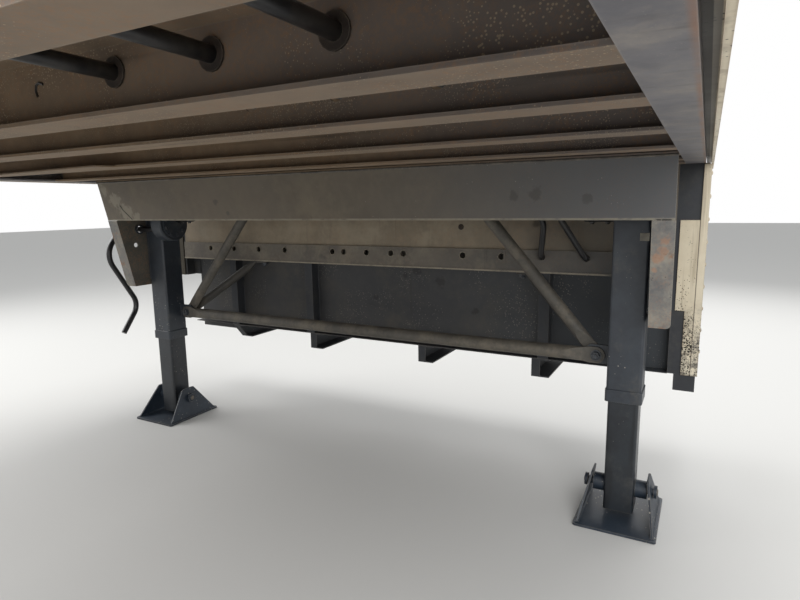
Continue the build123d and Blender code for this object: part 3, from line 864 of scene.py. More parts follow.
class Finishes:
    """Every finish of the part, built once."""

    # X, Y, Z and radius of the blots
    CARRIER_STAINS: tuple[Spot, ...] = (
        (0.238, -0.493, -0.235, 0.014), (0.229, -0.436, -0.276, 0.011), (0.238, 0.76, -0.232, 0.02),
        (0.238, 0.83, -0.228, 0.024), (0.236, 0.98, -0.244, 0.016))
    CARRIER_PATCHES: tuple[Spot, ...] = (
        (0.23, -1.06, -0.272, 0.05), (0.242, -1.12, -0.22, 0.045), (0.252, -1.18, -0.17, 0.03),
        (0.225, -1.0, -0.294, 0.03))
    GUSSET_SCABS: tuple[Spot, ...] = (
        (0.209, 1.189, -0.367, 0.016), (0.198, 1.171, -0.416, 0.016), (0.203, 1.187, -0.393, 0.018),
        (0.190, 1.162, -0.449, 0.01), (0.231, 1.199, -0.266, 0.012))
    LOWER_SHEET_STAINS: tuple[Spot, ...] = (
        (-0.262, 0.177, -0.537, 0.022), (-0.262, 0.287, -0.585, 0.026), (-0.262, 0.448, -0.700, 0.02),
        (-0.262, 0.117, -0.562, 0.015), (-0.262, -0.036, -0.671, 0.018))

    def __init__(self) -> None:
        """Builds the materials."""
        self.deck()
        self.bulkhead()
        self.legs()
        # Skin paint: painted shade in the gap beside the rail and on the front of the right corner
        self.cream = WallPaint("cream wall paint").material()
        # Cover plate paint: painted shade all round the right cover, with a low specular level to keep it
        # dark
        self.cover = WallPaint(
            "cover plate paint", chips=0.9, rust=0.2, all_round=True, shine=0.15).material()
        self.wood = FloorBoards("floor boards").material()
        self.plastic = LinePlastic("line plastic").material()

    def deck(self) -> None:
        """Builds the paints of beams, rails, carrier plate, gussets, welds and rings."""
        # Beam paint: painted shade towards the left side, and painted light from below on the flanges'
        # undersides
        self.beam = painted(
            "beam paint", shade(130, 109, 85), shade(106, 89, 69), shade(138, 123, 102), patch=4.0,
            rough=0.72, film=0.26, under=0.45, rust=0.05, rust_bright=shade(134, 100, 70), mottle=0.5,
            runs=0.4, run_along=(1.0, 0.05, 1.0), specks=0.75, speck_scale=260.0,
            speck_colour=shade(168, 150, 124), speck_cover=0.6, washed=0.6, clean=shade(86, 86, 92),
            wear=0.7)
        self.rail = painted(
            "rail paint", shade(118, 116, 119), shade(98, 97, 102), shade(146, 139, 132), patch=7.0,
            rough=0.55, film=0.36, rust=0.02, rust_bright=shade(140, 104, 82), runs=0.55,
            run_along=(1.0, 0.4, 1.0), run_colour=shade(90, 87, 88), stains=0.2, specks=0.4,
            speck_scale=200.0, speck_colour=shade(152, 144, 136), speck_cover=0.5, rim=1.272,
            wear=1.3, worn=shade(150, 145, 140))
        # Carrier paint: painted shade towards the left side
        self.carrier = painted(
            "carrier paint", shade(100, 91, 78), shade(87, 80, 69), shade(118, 109, 94), patch=2.6,
            rough=0.62, film=0.34, runs=0.35, run_colour=shade(72, 65, 55), stains=0.3,
            stain_colour=shade(60, 57, 53), specks=0.3, mottle=0.12, spots=self.CARRIER_STAINS,
            patches=self.CARRIER_PATCHES, washed=0.75, clean=shade(80, 84, 90), lip=-0.307,
            wear=1.3, worn=shade(146, 139, 122))
        # Gusset paint: painted shade on the faces that look sideways
        self.gusset = painted(
            "gusset paint", shade(118, 117, 113), shade(97, 97, 97), shade(152, 146, 133), patch=8.0,
            rough=0.62, film=0.42, rust=0.4, rust_deep=shade(100, 80, 66),
            rust_bright=shade(160, 116, 86), mottle=0.3, runs=0.2, specks=0.4,
            speck_colour=shade(72, 66, 60), scabs=self.GUSSET_SCABS, sides=0.75, wear=1.0,
            worn=shade(178, 172, 158))
        self.weld = painted(
            "painted welds", shade(84, 80, 74), shade(64, 60, 56), shade(118, 110, 98), patch=14.0,
            rough=0.6, relief=0.4, film=0.4, rust=0.12, wear=0.0)
        self.grommet = painted(
            "line rings", shade(54, 44, 37), shade(38, 31, 27), shade(92, 78, 64), patch=26.0,
            rough=0.8, film=0.24, rust=0.16)

    def bulkhead(self) -> None:
        """Builds the paints of the bulkhead."""
        # Upper sheet paint: painted shade towards the left side
        self.upper = painted(
            "upper sheet paint", shade(146, 132, 111), shade(124, 113, 96), shade(156, 145, 126),
            patch=4.0, rough=0.7, film=0.42, runs=0.4, run_colour=shade(92, 82, 68), rust=0.16,
            rust_deep=shade(112, 90, 68), rust_bright=shade(150, 116, 84), mottle=0.25, stains=0.42,
            stain_colour=shade(60, 53, 44), specks=0.35, washed=0.75, clean=shade(78, 75, 70))
        # Bolting rail paint: painted shade towards the left side
        self.strip = painted(
            "bolting rail paint", shade(104, 98, 88), shade(87, 82, 75), shade(134, 125, 110),
            patch=5.0, rough=0.62, film=0.36, runs=0.4, rust=0.07, mottle=0.2, stains=0.35,
            washed=0.7, clean=shade(72, 73, 74), lip=-0.521, wear=1.2, worn=shade(166, 156, 138))
        # Lower sheet paint: painted shade towards the left side
        self.lower = painted(
            "lower sheet paint", shade(58, 57, 57), shade(46, 47, 49), shade(80, 76, 69), patch=3.0,
            rough=0.6, film=0.28, runs=0.3, specks=0.75, speck_scale=160.0,
            speck_colour=shade(118, 114, 106), speck_cover=0.65, stains=0.3,
            stain_colour=shade(16, 15, 15), spots=self.LOWER_SHEET_STAINS, washed=0.6,
            clean=shade(44, 51, 57))
        self.dark = painted(
            "dark steel", shade(46, 48, 52), shade(36, 38, 42), shade(74, 72, 67), patch=5.0,
            rough=0.62, film=0.28, runs=0.3, rust=0.04, specks=0.3)

    def legs(self) -> None:
        """Builds the paints of legs, shoes, braces and gearing."""
        self.leg = painted(
            "leg paint", shade(49, 55, 62), shade(38, 42, 49), shade(84, 82, 77), patch=6.0,
            rough=0.42, film=0.22, runs=0.3, rust=0.02, specks=0.4, wear=0.7,
            worn=shade(126, 124, 120))
        self.inner = painted(
            "inner leg paint", shade(38, 43, 48), shade(28, 31, 36), shade(64, 64, 62), patch=8.0,
            rough=0.36, film=0.24, runs=0.6, run_colour=shade(18, 18, 19), stains=0.45, specks=0.4)
        self.shoe = painted(
            "shoe paint", shade(36, 47, 59), shade(27, 35, 45), shade(84, 91, 100), patch=8.0,
            rough=0.5, film=0.22, rust=0.03, specks=0.6, wear=1.2)
        self.brace = painted(
            "brace paint", shade(84, 80, 73), shade(64, 61, 56), shade(116, 108, 95), patch=7.0,
            rough=0.6, film=0.36, runs=0.2, rust=0.1, rust_bright=shade(116, 88, 70), stains=0.4,
            wear=0.3)
        # A darker copy of the brace paint: painted shade on the drag braces, which lie deep under the deck
        self.shaded_rear_brace = painted(
            "rear brace paint in painted shade", shade(58, 55, 50), shade(44, 42, 39), shade(80, 75, 66), patch=7.0,
            rough=0.6, film=0.3, runs=0.2, rust=0.08, stains=0.4, wear=0.3)
        self.black = painted(
            "black paint", shade(30, 30, 32), shade(22, 22, 24), shade(76, 72, 66), patch=12.0,
            rough=0.3, film=0.22, rust=0.04, specks=0.3)
        self.bare = painted(
            "bare steel", shade(118, 114, 108), shade(88, 84, 80), shade(104, 94, 82), patch=18.0,
            rough=0.42, metal=0.6, film=0.4, rust=0.12)


def place_in_scene(name: str, data: bpy.types.ID) -> bpy.types.Object:
    """Makes an object and links it to the scene.

    Args:
        name: The object's name.
        data: Its mesh, lamp or camera.

    Returns:
        The object.
    """
    made = bpy.data.objects.new(name, data)
    bpy.context.scene.collection.objects.link(made)
    return made


def arc(x: float, y: float, z: float, radius: float, angles: Iterable[float]) -> list[Point]:
    """Points of an arc that looks along Y.

    Args:
        x: X of its centre.
        y: Y of its plane.
        z: Z of its centre.
        radius: Its radius.
        angles: Angle of each point, from X towards Z.

    Returns:
        The points.
    """
    return [(x + radius * math.cos(angle), y, z + radius * math.sin(angle)) for angle in angles]


class Mesher:
    """A mesh in the making, in the part's own frame."""

    SHARP_ANGLE = math.radians(35)
    # Cosine from which a rod counts as upright
    UPRIGHT = 0.9

    def __init__(self) -> None:
        """Starts empty."""
        self.bm = bmesh.new()

    def block(self, low: Point, high: Point, edge: float = 0.0) -> None:
        """Box with softened edges.

        Args:
            low: Lowest corner.
            high: Highest corner.
            edge: Width of the softened edge.
        """
        low, high = Vector(low), Vector(high)
        place = Matrix.Translation((low + high) / 2) @ Matrix.Diagonal((*(high - low), 1.0))
        made = bmesh.ops.create_cube(self.bm, size=1.0, matrix=place)
        if edge:
            edges = list(dict.fromkeys(line for spot in made["verts"] for line in spot.link_edges))
            bmesh.ops.bevel(self.bm, geom=edges, offset=edge, segments=2, affect="EDGES", profile=0.5)

    def skin(self, rings: Sequence[Sequence[bmesh.types.BMVert]]) -> None:
        """Joins each ring of points to the next by faces.

        Args:
            rings: The rings, each with as many points.
        """
        for ring, after in zip(rings, rings[1:]):
            for index in range(len(ring)):
                other = (index + 1) % len(ring)
                self.bm.faces.new((ring[index], ring[other], after[other], after[index]))

    def cap(self, rings: Sequence[Sequence[bmesh.types.BMVert]]) -> None:
        """Closes the first and the last ring."""
        self.bm.faces.new(rings[0][::-1])
        self.bm.faces.new(rings[-1])

    def swept(self, base: Point, axis: Point, profile: Iterable[tuple[float, float]],
              sides: int) -> list[list[bmesh.types.BMVert]]:
        """Points of a profile turned about an axis.

        Args:
            base: Point on the axis.
            axis: Direction of the axis.
            profile: Distance along the axis and radius of each ring.
            sides: Points round the axis.

        Returns:
            The rings of points.
        """
        turn = Vector(axis).normalized().to_track_quat("Z", "Y")
        rings = []
        for along, radius in profile:
            angles = (math.tau * index / sides for index in range(sides))
            spots = (Vector((radius * math.cos(a), radius * math.sin(a), along)) for a in angles)
            rings.append([self.bm.verts.new(Vector(base) + turn @ spot) for spot in spots])
        return rings

    def turned(self, base: Point, axis: Point, profile: Sequence[tuple[float, float]],
               sides: int) -> None:
        """Closed turned shape.

        Args:
            base: Point on the axis.
            axis: Direction of the axis.
            profile: Distance along the axis and radius of each ring.
            sides: Points round the axis.
        """
        rings = self.swept(base, axis, profile, sides)
        self.skin(rings)
        self.cap(rings)

    def ring(self, base: Point, axis: Point, inner: float, outer: float, depth: float,
             sides: int = 24) -> None:
        """Flat ring with an open middle.

        Args:
            base: Middle of its foot.
            axis: Direction of its axis.
            inner: Radius of the opening.
            outer: Outer radius.
            depth: Its height.
            sides: Points round it.
        """
        profile = ((0.0, inner), (0.0, outer), (depth, outer), (depth, inner))
        rings = self.swept(base, axis, profile, sides)
        self.skin(rings + rings[:1])

    def prism(self, corners: Sequence[Point], depth: Point) -> None:
        """Flat outline given a thickness.

        Args:
            corners: The outline.
            depth: Thickness as a vector.
        """
        near = [self.bm.verts.new(corner) for corner in corners]
        far = [self.bm.verts.new(Vector(corner) + Vector(depth)) for corner in corners]
        self.bm.faces.new(near)
        self.bm.faces.new(far[::-1])
        for index in range(len(near)):
            other = (index + 1) % len(near)
            self.bm.faces.new((near[index], far[index], far[other], near[other]))

    def rod(self, path: Sequence[Point], radius: float, sides: int) -> None:
        """Round rod along a path.

        Args:
            path: Points of its middle line.
            radius: Its radius.
            sides: Points round it.
        """
        points = [Vector(point) for point in path]
        # Each ring's second axis follows from the one before, so that the rod doesn't twist
        reference = Vector(UP)
        if abs((points[1] - points[0]).normalized().dot(reference)) > self.UPRIGHT:
            reference = Vector(AHEAD)
        rings = []
        for index, point in enumerate(points):
            ahead = points[min(index + 1, len(points) - 1)] - points[max(index - 1, 0)]
            across = ahead.cross(reference).normalized()
            reference = across.cross(ahead).normalized()
            angles = (math.tau * step / sides for step in range(sides))
            ways = (across * math.cos(a) + reference * math.sin(a) for a in angles)
            rings.append([self.bm.verts.new(point + way * radius) for way in ways])
        self.skin(rings)
        self.cap(rings)

    def finish(self, name: str, look: bpy.types.Material) -> bpy.types.Object:
        """Turns the mesh into an object, shaded round apart from its sharp edges.

        Args:
            name: The piece's name.
            look: Its material.

        Returns:
            The object.
        """
        bmesh.ops.recalc_face_normals(self.bm, faces=self.bm.faces[:])
        mesh = bpy.data.meshes.new(name)
        self.bm.to_mesh(mesh)
        self.bm.free()
        mesh.materials.append(look)
        mesh.shade_smooth()
        mesh.set_sharp_from_angle(angle=self.SHARP_ANGLE)
        return place_in_scene(name, mesh)


class Recipe:
    """A geometry node tree with named inputs, run on a base mesh to make a plain mesh."""

    SEED = 7

    def __init__(self, name: str, sizes: dict[str, float]) -> None:
        """Makes the tree with its inputs.

        Args:
            name: The tree's name.
            sizes: Its number inputs and their defaults.
        """
        self.tree = bpy.data.node_groups.new(name, "GeometryNodeTree")
        face = self.tree.interface
        face.new_socket(name="Geometry", in_out="INPUT", socket_type="NodeSocketGeometry")
        for key, value in sizes.items():
            face.new_socket(name=key, in_out="INPUT", socket_type="NodeSocketFloat").default_value = value
        face.new_socket(name="Seed", in_out="INPUT", socket_type="NodeSocketInt").default_value = self.SEED
        face.new_socket(name="Finish", in_out="INPUT", socket_type="NodeSocketMaterial")
        face.new_socket(name="Geometry", in_out="OUTPUT", socket_type="NodeSocketGeometry")
        self.graph = Graph(self.tree)
        self.given = self.graph.add("NodeGroupInput").outputs

    def luck(self, low: object, high: object) -> bpy.types.NodeSocket:
        """Random number from the tree's seed.

        Args:
            low: The least it can be.
            high: The most it can be.

        Returns:
            The number.
        """
        return self.graph.add("FunctionNodeRandomValue", {2: low, 3: high, "Seed": self.given["Seed"]},
                              data_type="FLOAT").outputs[1]

    def joined(self, *parts: bpy.types.NodeSocket) -> bpy.types.NodeSocket:
        """Several geometries as one.

        Args:
            parts: The geometries.

        Returns:
            The joined geometry.
        """
        node = self.graph.add("GeometryNodeJoinGeometry")
        for part in parts:
            self.graph.feed(node.inputs[0], part)
        return node.outputs[0]

    def smooth(self, geometry: bpy.types.NodeSocket) -> bpy.types.NodeSocket:
        """Geometry that is shaded round."""
        return self.graph.add("GeometryNodeSetShadeSmooth", {"Geometry": geometry}).outputs[0]

    def close(self, geometry: bpy.types.NodeSocket) -> None:
        """Ends the tree in real meshes with their material.

        Args:
            geometry: What the tree made.
        """
        real = self.graph.add("GeometryNodeRealizeInstances", {"Geometry": geometry}).outputs[0]
        given = {"Geometry": real, "Material": self.given["Finish"]}
        dressed = self.graph.add("GeometryNodeSetMaterial", given).outputs[0]
        self.graph.add("NodeGroupOutput", {0: dressed})

    def run(self, name: str, base: bpy.types.Mesh, sizes: dict[str, float],
            look: bpy.types.Material) -> bpy.types.Object:
        """Runs the tree once and keeps what it makes.

        Args:
            name: The piece's name.
            base: The mesh it starts from.
            sizes: Values of its named inputs.
            look: The finish.

        Returns:
            An object with a plain mesh.
        """
        made = place_in_scene(name, base)
        modifier = made.modifiers.new("recipe", "NODES")
        modifier.node_group = self.tree
        given = {**sizes, "Finish": look}
        for item in self.tree.interface.items_tree:
            if item.in_out == "INPUT" and item.name in given:
                modifier[item.identifier] = given[item.name]
        graph = bpy.context.evaluated_depsgraph_get()
        mesh = bpy.data.meshes.new_from_object(made.evaluated_get(graph), depsgraph=graph)
        made.modifiers.remove(modifier)
        made.data = mesh
        mesh.name = name
        return made


class HeadShape(Enum):
    """Kinds of fastener head."""

    HEX = "hexagon on a washer"
    ROUND = "dome"


class Heads(Recipe):
    """Fastener heads, one at each vertex, along its "out" attribute."""

    def drum(self, sides: int, low: object, high: object, depth: object,
             start: object) -> bpy.types.NodeSocket:
        """Round or hexagonal step of a head.

        Args:
            sides: Points round it.
            low: Radius at its foot.
            high: Radius at its top.
            depth: Its height.
            start: Where its foot is.

        Returns:
            Its geometry.
        """
        given = {"Vertices": sides, "Radius Top": high, "Radius Bottom": low, "Depth": depth}
        shape = self.graph.add("GeometryNodeMeshCone", given).outputs["Mesh"]
        up = self.graph.add("ShaderNodeCombineXYZ", {"Z": start}).outputs[0]
        return self.graph.add("GeometryNodeTransform", {"Geometry": shape, "Translation": up}).outputs[0]

    def spread(self, head: bpy.types.NodeSocket) -> bpy.types.NodeSocket:
        """One head at each vertex, turned at random about its own axis.

        Args:
            head: The head's geometry.

        Returns:
            The instances.
        """
        graph = self.graph
        out = graph.add("GeometryNodeInputNamedAttribute", {"Name": "out"}, data_type="FLOAT_VECTOR")
        lie = graph.add("FunctionNodeAlignRotationToVector", {"Vector": out.outputs["Attribute"]}, axis="Z")
        spin = graph.add("FunctionNodeAxisAngleToRotation", {"Angle": self.luck(0.0, math.tau)})
        both = graph.add("FunctionNodeRotateRotation", {0: lie.outputs[0], 1: spin.outputs[0]},
                         rotation_space="LOCAL")
        given = {"Points": self.given["Geometry"], "Instance": head, "Rotation": both.outputs[0]}
        return graph.add("GeometryNodeInstanceOnPoints", given).outputs[0]


class HexHeads(Heads):
    """Hexagon bolt heads on washers, with the end of a stud."""

    WASHER_SIDES, HEAD_SIDES, STUD_SIDES = 20, 6, 10
    # Heights of the head's straight and chamfered part, and widths of its top, the stud and its tip
    BODY_SHARE, CAP_SHARE = 0.8, 0.2
    TOP_SHARE, STUD_SHARE, TIP_SHARE = 0.84, 0.5, 0.8

    def __init__(self) -> None:
        """Builds the tree."""
        super().__init__("Hex bolt heads", {"Head Radius": 0.012, "Head Height": 0.008,
                                            "Washer Radius": 0.015, "Washer Height": 0.002,
                                            "Stud Height": 0.0})
        graph, given = self.graph, self.given
        wide, tall = given["Head Radius"], given["Head Height"]
        rim, flat = given["Washer Radius"], given["Washer Height"]
        washer = self.drum(self.WASHER_SIDES, rim, rim, flat, 0.0)
        straight = graph.times(tall, self.BODY_SHARE)
        body = self.drum(self.HEAD_SIDES, wide, wide, straight, flat)
        cap = self.drum(self.HEAD_SIDES, wide, graph.times(wide, self.TOP_SHARE),
                        graph.times(tall, self.CAP_SHARE), graph.plus(flat, straight))
        slim = graph.times(wide, self.STUD_SHARE)
        stud = self.drum(self.STUD_SIDES, slim, graph.times(slim, self.TIP_SHARE),
                         given["Stud Height"], graph.plus(flat, tall))
        self.close(self.spread(self.joined(washer, body, cap, stud)))


class RoundHeads(Heads):
    """Domed rivet and screw heads."""

    DOME_SIDES = 10
    # Heights of the dome's lower and upper step, and widths of their tops
    FOOT_SHARE, TOP_SHARE = 0.65, 0.35
    STEP_SHARE, TIP_SHARE = 0.7, 0.4

    def __init__(self) -> None:
        """Builds the tree."""
        super().__init__("Round heads", {"Head Radius": 0.005, "Head Height": 0.002})
        graph, wide, tall = self.graph, self.given["Head Radius"], self.given["Head Height"]
        slim, low = graph.times(wide, self.STEP_SHARE), graph.times(tall, self.FOOT_SHARE)
        foot = self.drum(self.DOME_SIDES, wide, slim, low, 0.0)
        top = self.drum(self.DOME_SIDES, slim, graph.times(slim, self.TIP_SHARE),
                        graph.times(tall, self.TOP_SHARE), low)
        self.close(self.spread(self.smooth(self.joined(foot, top))))


class WeldBeads(Recipe):
    """Rippled weld beads along the edges of the base mesh."""

    BEAD_SIDES = 6
    # Length of a ripple
    STEP_PER_RADIUS = 1.6
    LEAST_STEP = 0.005

    def __init__(self) -> None:
        """Builds the tree."""
        super().__init__("Weld beads", {"Bead Radius": 0.004, "Ripple": 0.3, "Step": 0.007})
        graph, given = self.graph, self.given
        line = graph.add("GeometryNodeMeshToCurve", {0: given["Geometry"]}).outputs[0]
        even = graph.add("GeometryNodeResampleCurve", mode="LENGTH")
        graph.feed(even.inputs["Curve"], line)
        graph.feed(even.inputs["Length"], given["Step"])
        swell = self.luck(graph.less(1.0, given["Ripple"]), graph.plus(1.0, given["Ripple"]))
        swollen = graph.add("GeometryNodeSetCurveRadius", {"Curve": even.outputs[0], "Radius": swell})
        ring = graph.add("GeometryNodeCurvePrimitiveCircle", {"Resolution": self.BEAD_SIDES})
        graph.feed(ring.inputs["Radius"], given["Bead Radius"])
        skin = graph.add("GeometryNodeCurveToMesh", {"Curve": swollen.outputs[0],
                                                     "Profile Curve": ring.outputs[0], "Fill Caps": True})
        self.close(self.smooth(skin.outputs[0]))


@dataclass(frozen=True)
class HeadSize:
    """Sizes of one kind of fastener head, in metres."""

    shape: HeadShape
    radius: float
    height: float
    washer_height: float = 0.0025
    washer_spread: float = 1.3
    stud: float = 0.0


class Fitter:
    """Puts fasteners, welds and other small pieces on a body, and dresses its nodes."""

    def __init__(self, looks: Finishes) -> None:
        """Builds the recipes.

        Args:
            looks: The finishes.
        """
        self.looks = looks
        self.hex = HexHeads()
        self.round = RoundHeads()
        self.beads = WeldBeads()

    def heads(self, name: str, size: HeadSize, places: Sequence[Seat], look: bpy.types.Material,
              slot: str, body: str = FRAME_BODY) -> None:
        """Fastener heads of one kind on one body.

        Args:
            name: The piece's name.
            size: The head's sizes.
            places: Where each sits, and which way it looks.
            look: Its finish.
            slot: A material slot's name; not used.
            body: The body it rides on.
        """
        base = bpy.data.meshes.new(name)
        base.from_pydata([spot for spot, _ in places], [], [])
        out = base.attributes.new("out", "FLOAT_VECTOR", "POINT")
        out.data.foreach_set("vector", [value for _, way in places for value in way])
        sizes = {"Head Radius": size.radius, "Head Height": size.height}
        recipe: Recipe = self.round
        if size.shape is HeadShape.HEX:
            recipe = self.hex
            sizes.update({"Washer Radius": size.radius * size.washer_spread,
                          "Washer Height": size.washer_height, "Stud Height": size.stud})
        self.hold(recipe.run(name, base, sizes, look), body)

    def welds(self, name: str, lines: Iterable[Sequence[Point]], radius: float,
              look: bpy.types.Material, slot: str, body: str = FRAME_BODY) -> None:
        """Weld beads along lines on one body.

        Args:
            name: The piece's name.
            lines: Points of each line.
            radius: Radius of the bead.
            look: Its finish.
            slot: A material slot's name; not used.
            body: The body it rides on.
        """
        spots: list[Point] = []
        edges: list[tuple[int, int]] = []
        for line in lines:
            first = len(spots)
            spots.extend(line)
            edges.extend((index, index + 1) for index in range(first, len(spots) - 1))
        base = bpy.data.meshes.new(name)
        base.from_pydata(spots, edges, [])
        step = max(radius * WeldBeads.STEP_PER_RADIUS, WeldBeads.LEAST_STEP)
        made = self.beads.run(name, base, {"Bead Radius": radius, "Step": step}, look)
        self.hold(made, body)

    def keep(self, mesh: Mesher, name: str, look: bpy.types.Material, slot: str,
             body: str = FRAME_BODY) -> bpy.types.Object:
        """Turns a mesh into a piece of the part.

        Args:
            mesh: The finished shape.
            name: The piece's name.
            look: Its finish.
            slot: A material slot's name; not used.
            body: The body it rides on.

        Returns:
            The piece.
        """
        return self.hold(mesh.finish(name, look), body)

    def hold(self, piece: bpy.types.Object, body: str) -> bpy.types.Object:
        """Makes a piece ride on a body.

        Args:
            piece: The piece.
            body: The body it rides on.

        Returns:
            The same piece.
        """
        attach(piece, body)
        log.info("%s: %d faces on %s", piece.name, len(piece.data.polygons), body)
        return piece

    def dress(self, look: bpy.types.Material, *nodes: str) -> None:
        """Gives carried-over nodes a finish.

        Args:
            look: The material.
            nodes: The nodes' names.
        """
        for node in nodes:
            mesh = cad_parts[node].data
            mesh.materials.clear()
            mesh.materials.append(look)
            log.info("%s dressed in %s", node, look.name)


@dataclass
class FloorDeck:
    """Floor boards, cross members and side rails."""

    fit: Fitter
    boards: int = 17
    screw: HeadSize = HeadSize(HeadShape.ROUND, 0.0055, 0.0006)
    screw_off: float = 0.017
    screw_sunk: float = 0.0003
    bead: float = 0.0035
    bead_trim: float = 0.008
    flange_top: float = 0.007
    flange_inset: float = 0.004
    rail_gap: float = 0.001
    stepped_member: str = "cross_member_7"
    stepped_flange: float = 0.07
    hook_line: tuple[tuple[float, float], ...] = (
        (0.389, -0.0685), (0.379, -0.0655), (0.3715, -0.0680), (0.3690, -0.0765), (0.3725, -0.0850))
    hook_radius: float = 0.0022
    web_half: float = 0.0026
    strip_ends: tuple[float, float] = (-0.93, -0.275)
    # How far out, where along and how far down the strip's free corners are
    strip_corners: tuple[Point, ...] = ((0.058, -0.282, 0.001), (0.048, -0.42, 0.001), (0.022, -0.66, 0.0))
    strip_lap: float = 0.001
    strip_thickness: float = 0.004

    def build(self) -> None:
        """Dresses the deck and adds its screws, welds and bent pieces."""
        looks = self.fit.looks
        members = [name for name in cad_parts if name.startswith("cross_member_")]
        self.fit.dress(looks.wood, "deck_floor")
        self.fit.dress(looks.beam, *members)
        self.fit.dress(looks.rail, "side_rail_left", "side_rail_right")
        self.screws(members)
        self.member_welds(members)
        self.web_hook()
        self.bent_flange()

    def rows(self) -> list[float]:
        """Y of both screws of every board.

        Returns:
            The places, from right to left.
        """
        low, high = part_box("deck_floor")
        pitch = (high.y - low.y) / self.boards
        return [low.y + pitch * (index + part) for index in range(self.boards) for part in (0.25, 0.75)]

    def screws(self, members: Sequence[str]) -> None:
        """Screw heads in the boards over each member, left and right of its web in turn.

        Args:
            members: The members' nodes.
        """
        heads: list[Seat] = []
        for name in members:
            low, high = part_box(name)
            middle = (low.x + high.x) / 2
            for index, y in enumerate(self.rows()):
                x = middle + (self.screw_off if index % 2 else -self.screw_off)
                heads.append(((x, y, -self.screw_sunk), UP))
        self.fit.heads("board_screws", self.screw, heads, self.fit.looks.bare, "bare_steel")

    def member_welds(self, members: Sequence[str]) -> None:
        """Beads where the members end in the rails.

        Args:
            members: The members' nodes.
        """
        lines: list[list[Point]] = []
        for name in members:
            low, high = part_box(name)
            if name == self.stepped_member:
                low.z, low.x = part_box("cross_member_6")[0].z, high.x - self.stepped_flange
            middle, foot = (low.x + high.x) / 2, low.z + self.flange_top
            for side, _ in SIDES[::-1]:
                y = side * (high.y - self.rail_gap)
                for x in (middle - self.bead, middle + self.bead):
                    lines.append([(x, y, low.z + self.bead_trim), (x, y, high.z - self.bead_trim)])
                for start, end in ((low.x, middle), (middle, high.x)):
                    lines.append([(start + self.flange_inset, y, foot), (end - self.flange_inset, y, foot)])
        self.fit.welds("member_welds", lines, self.bead, self.fit.looks.weld, "dusty_steel")

    def web_hook(self) -> None:
        """Small hook bent out of the second member's web."""
        low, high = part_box("cross_member_2")
        x = (low.x + high.x) / 2 + self.web_half
        mesh = Mesher()
        mesh.rod([(x, y, z) for y, z in self.hook_line], self.hook_radius, sides=8)
        self.fit.keep(mesh, "web_hook", self.fit.looks.black, "dusty_steel")

    def bent_flange(self) -> None:
        """Strip of the fourth member's lower flange that was bent forward and torn at one end."""
        low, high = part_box("cross_member_4")
        edge = high.x - self.strip_lap
        corners = [(edge, y, low.z) for y in self.strip_ends]
        corners += [(edge + out, y, low.z - down) for out, y, down in self.strip_corners]
        mesh = Mesher()
        mesh.prism(corners, (0.0, 0.0, self.strip_thickness))
        self.fit.keep(mesh, "bent_flange", self.fit.looks.beam, "dusty_steel")


@dataclass
class SideWalls:
    """Outer skins, corner posts and their cover plates."""

    fit: Fitter
    rivet: HeadSize = HeadSize(HeadShape.ROUND, 0.0082, 0.0034)
    pitch: float = 0.076
    face_y: float = 1.291
    row_heights: tuple[float, ...] = (-0.022, -0.096)
    column_x: float = -0.219
    column_top: float = -0.165
    column_length_from: float = -0.15

    def build(self) -> None:
        """Dresses the walls and adds two rows and a column of rivets to each skin."""
        looks = self.fit.looks
        self.fit.dress(looks.cream, "side_skin_left", "side_skin_right")
        self.fit.dress(looks.cover, "corner_covers")
        self.fit.dress(looks.dark, "corner_post_left", "corner_post_right")
        places: list[Seat] = []
        for side, word in SIDES:
            low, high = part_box("side_skin_" + word)
            face, out = side * self.face_y, (0.0, side, 0.0)
            for index in range(int((high.x - low.x) / self.pitch)):
                x = low.x + self.pitch * (index + 0.5)
                places += [((x, face, z), out) for z in self.row_heights]
            for index in range(int((self.column_length_from - low.z) / self.pitch)):
                places.append(((self.column_x, face, self.column_top - self.pitch * index), out))
        self.fit.heads("skin_rivets", self.rivet, places, looks.cream, "cream_paint")


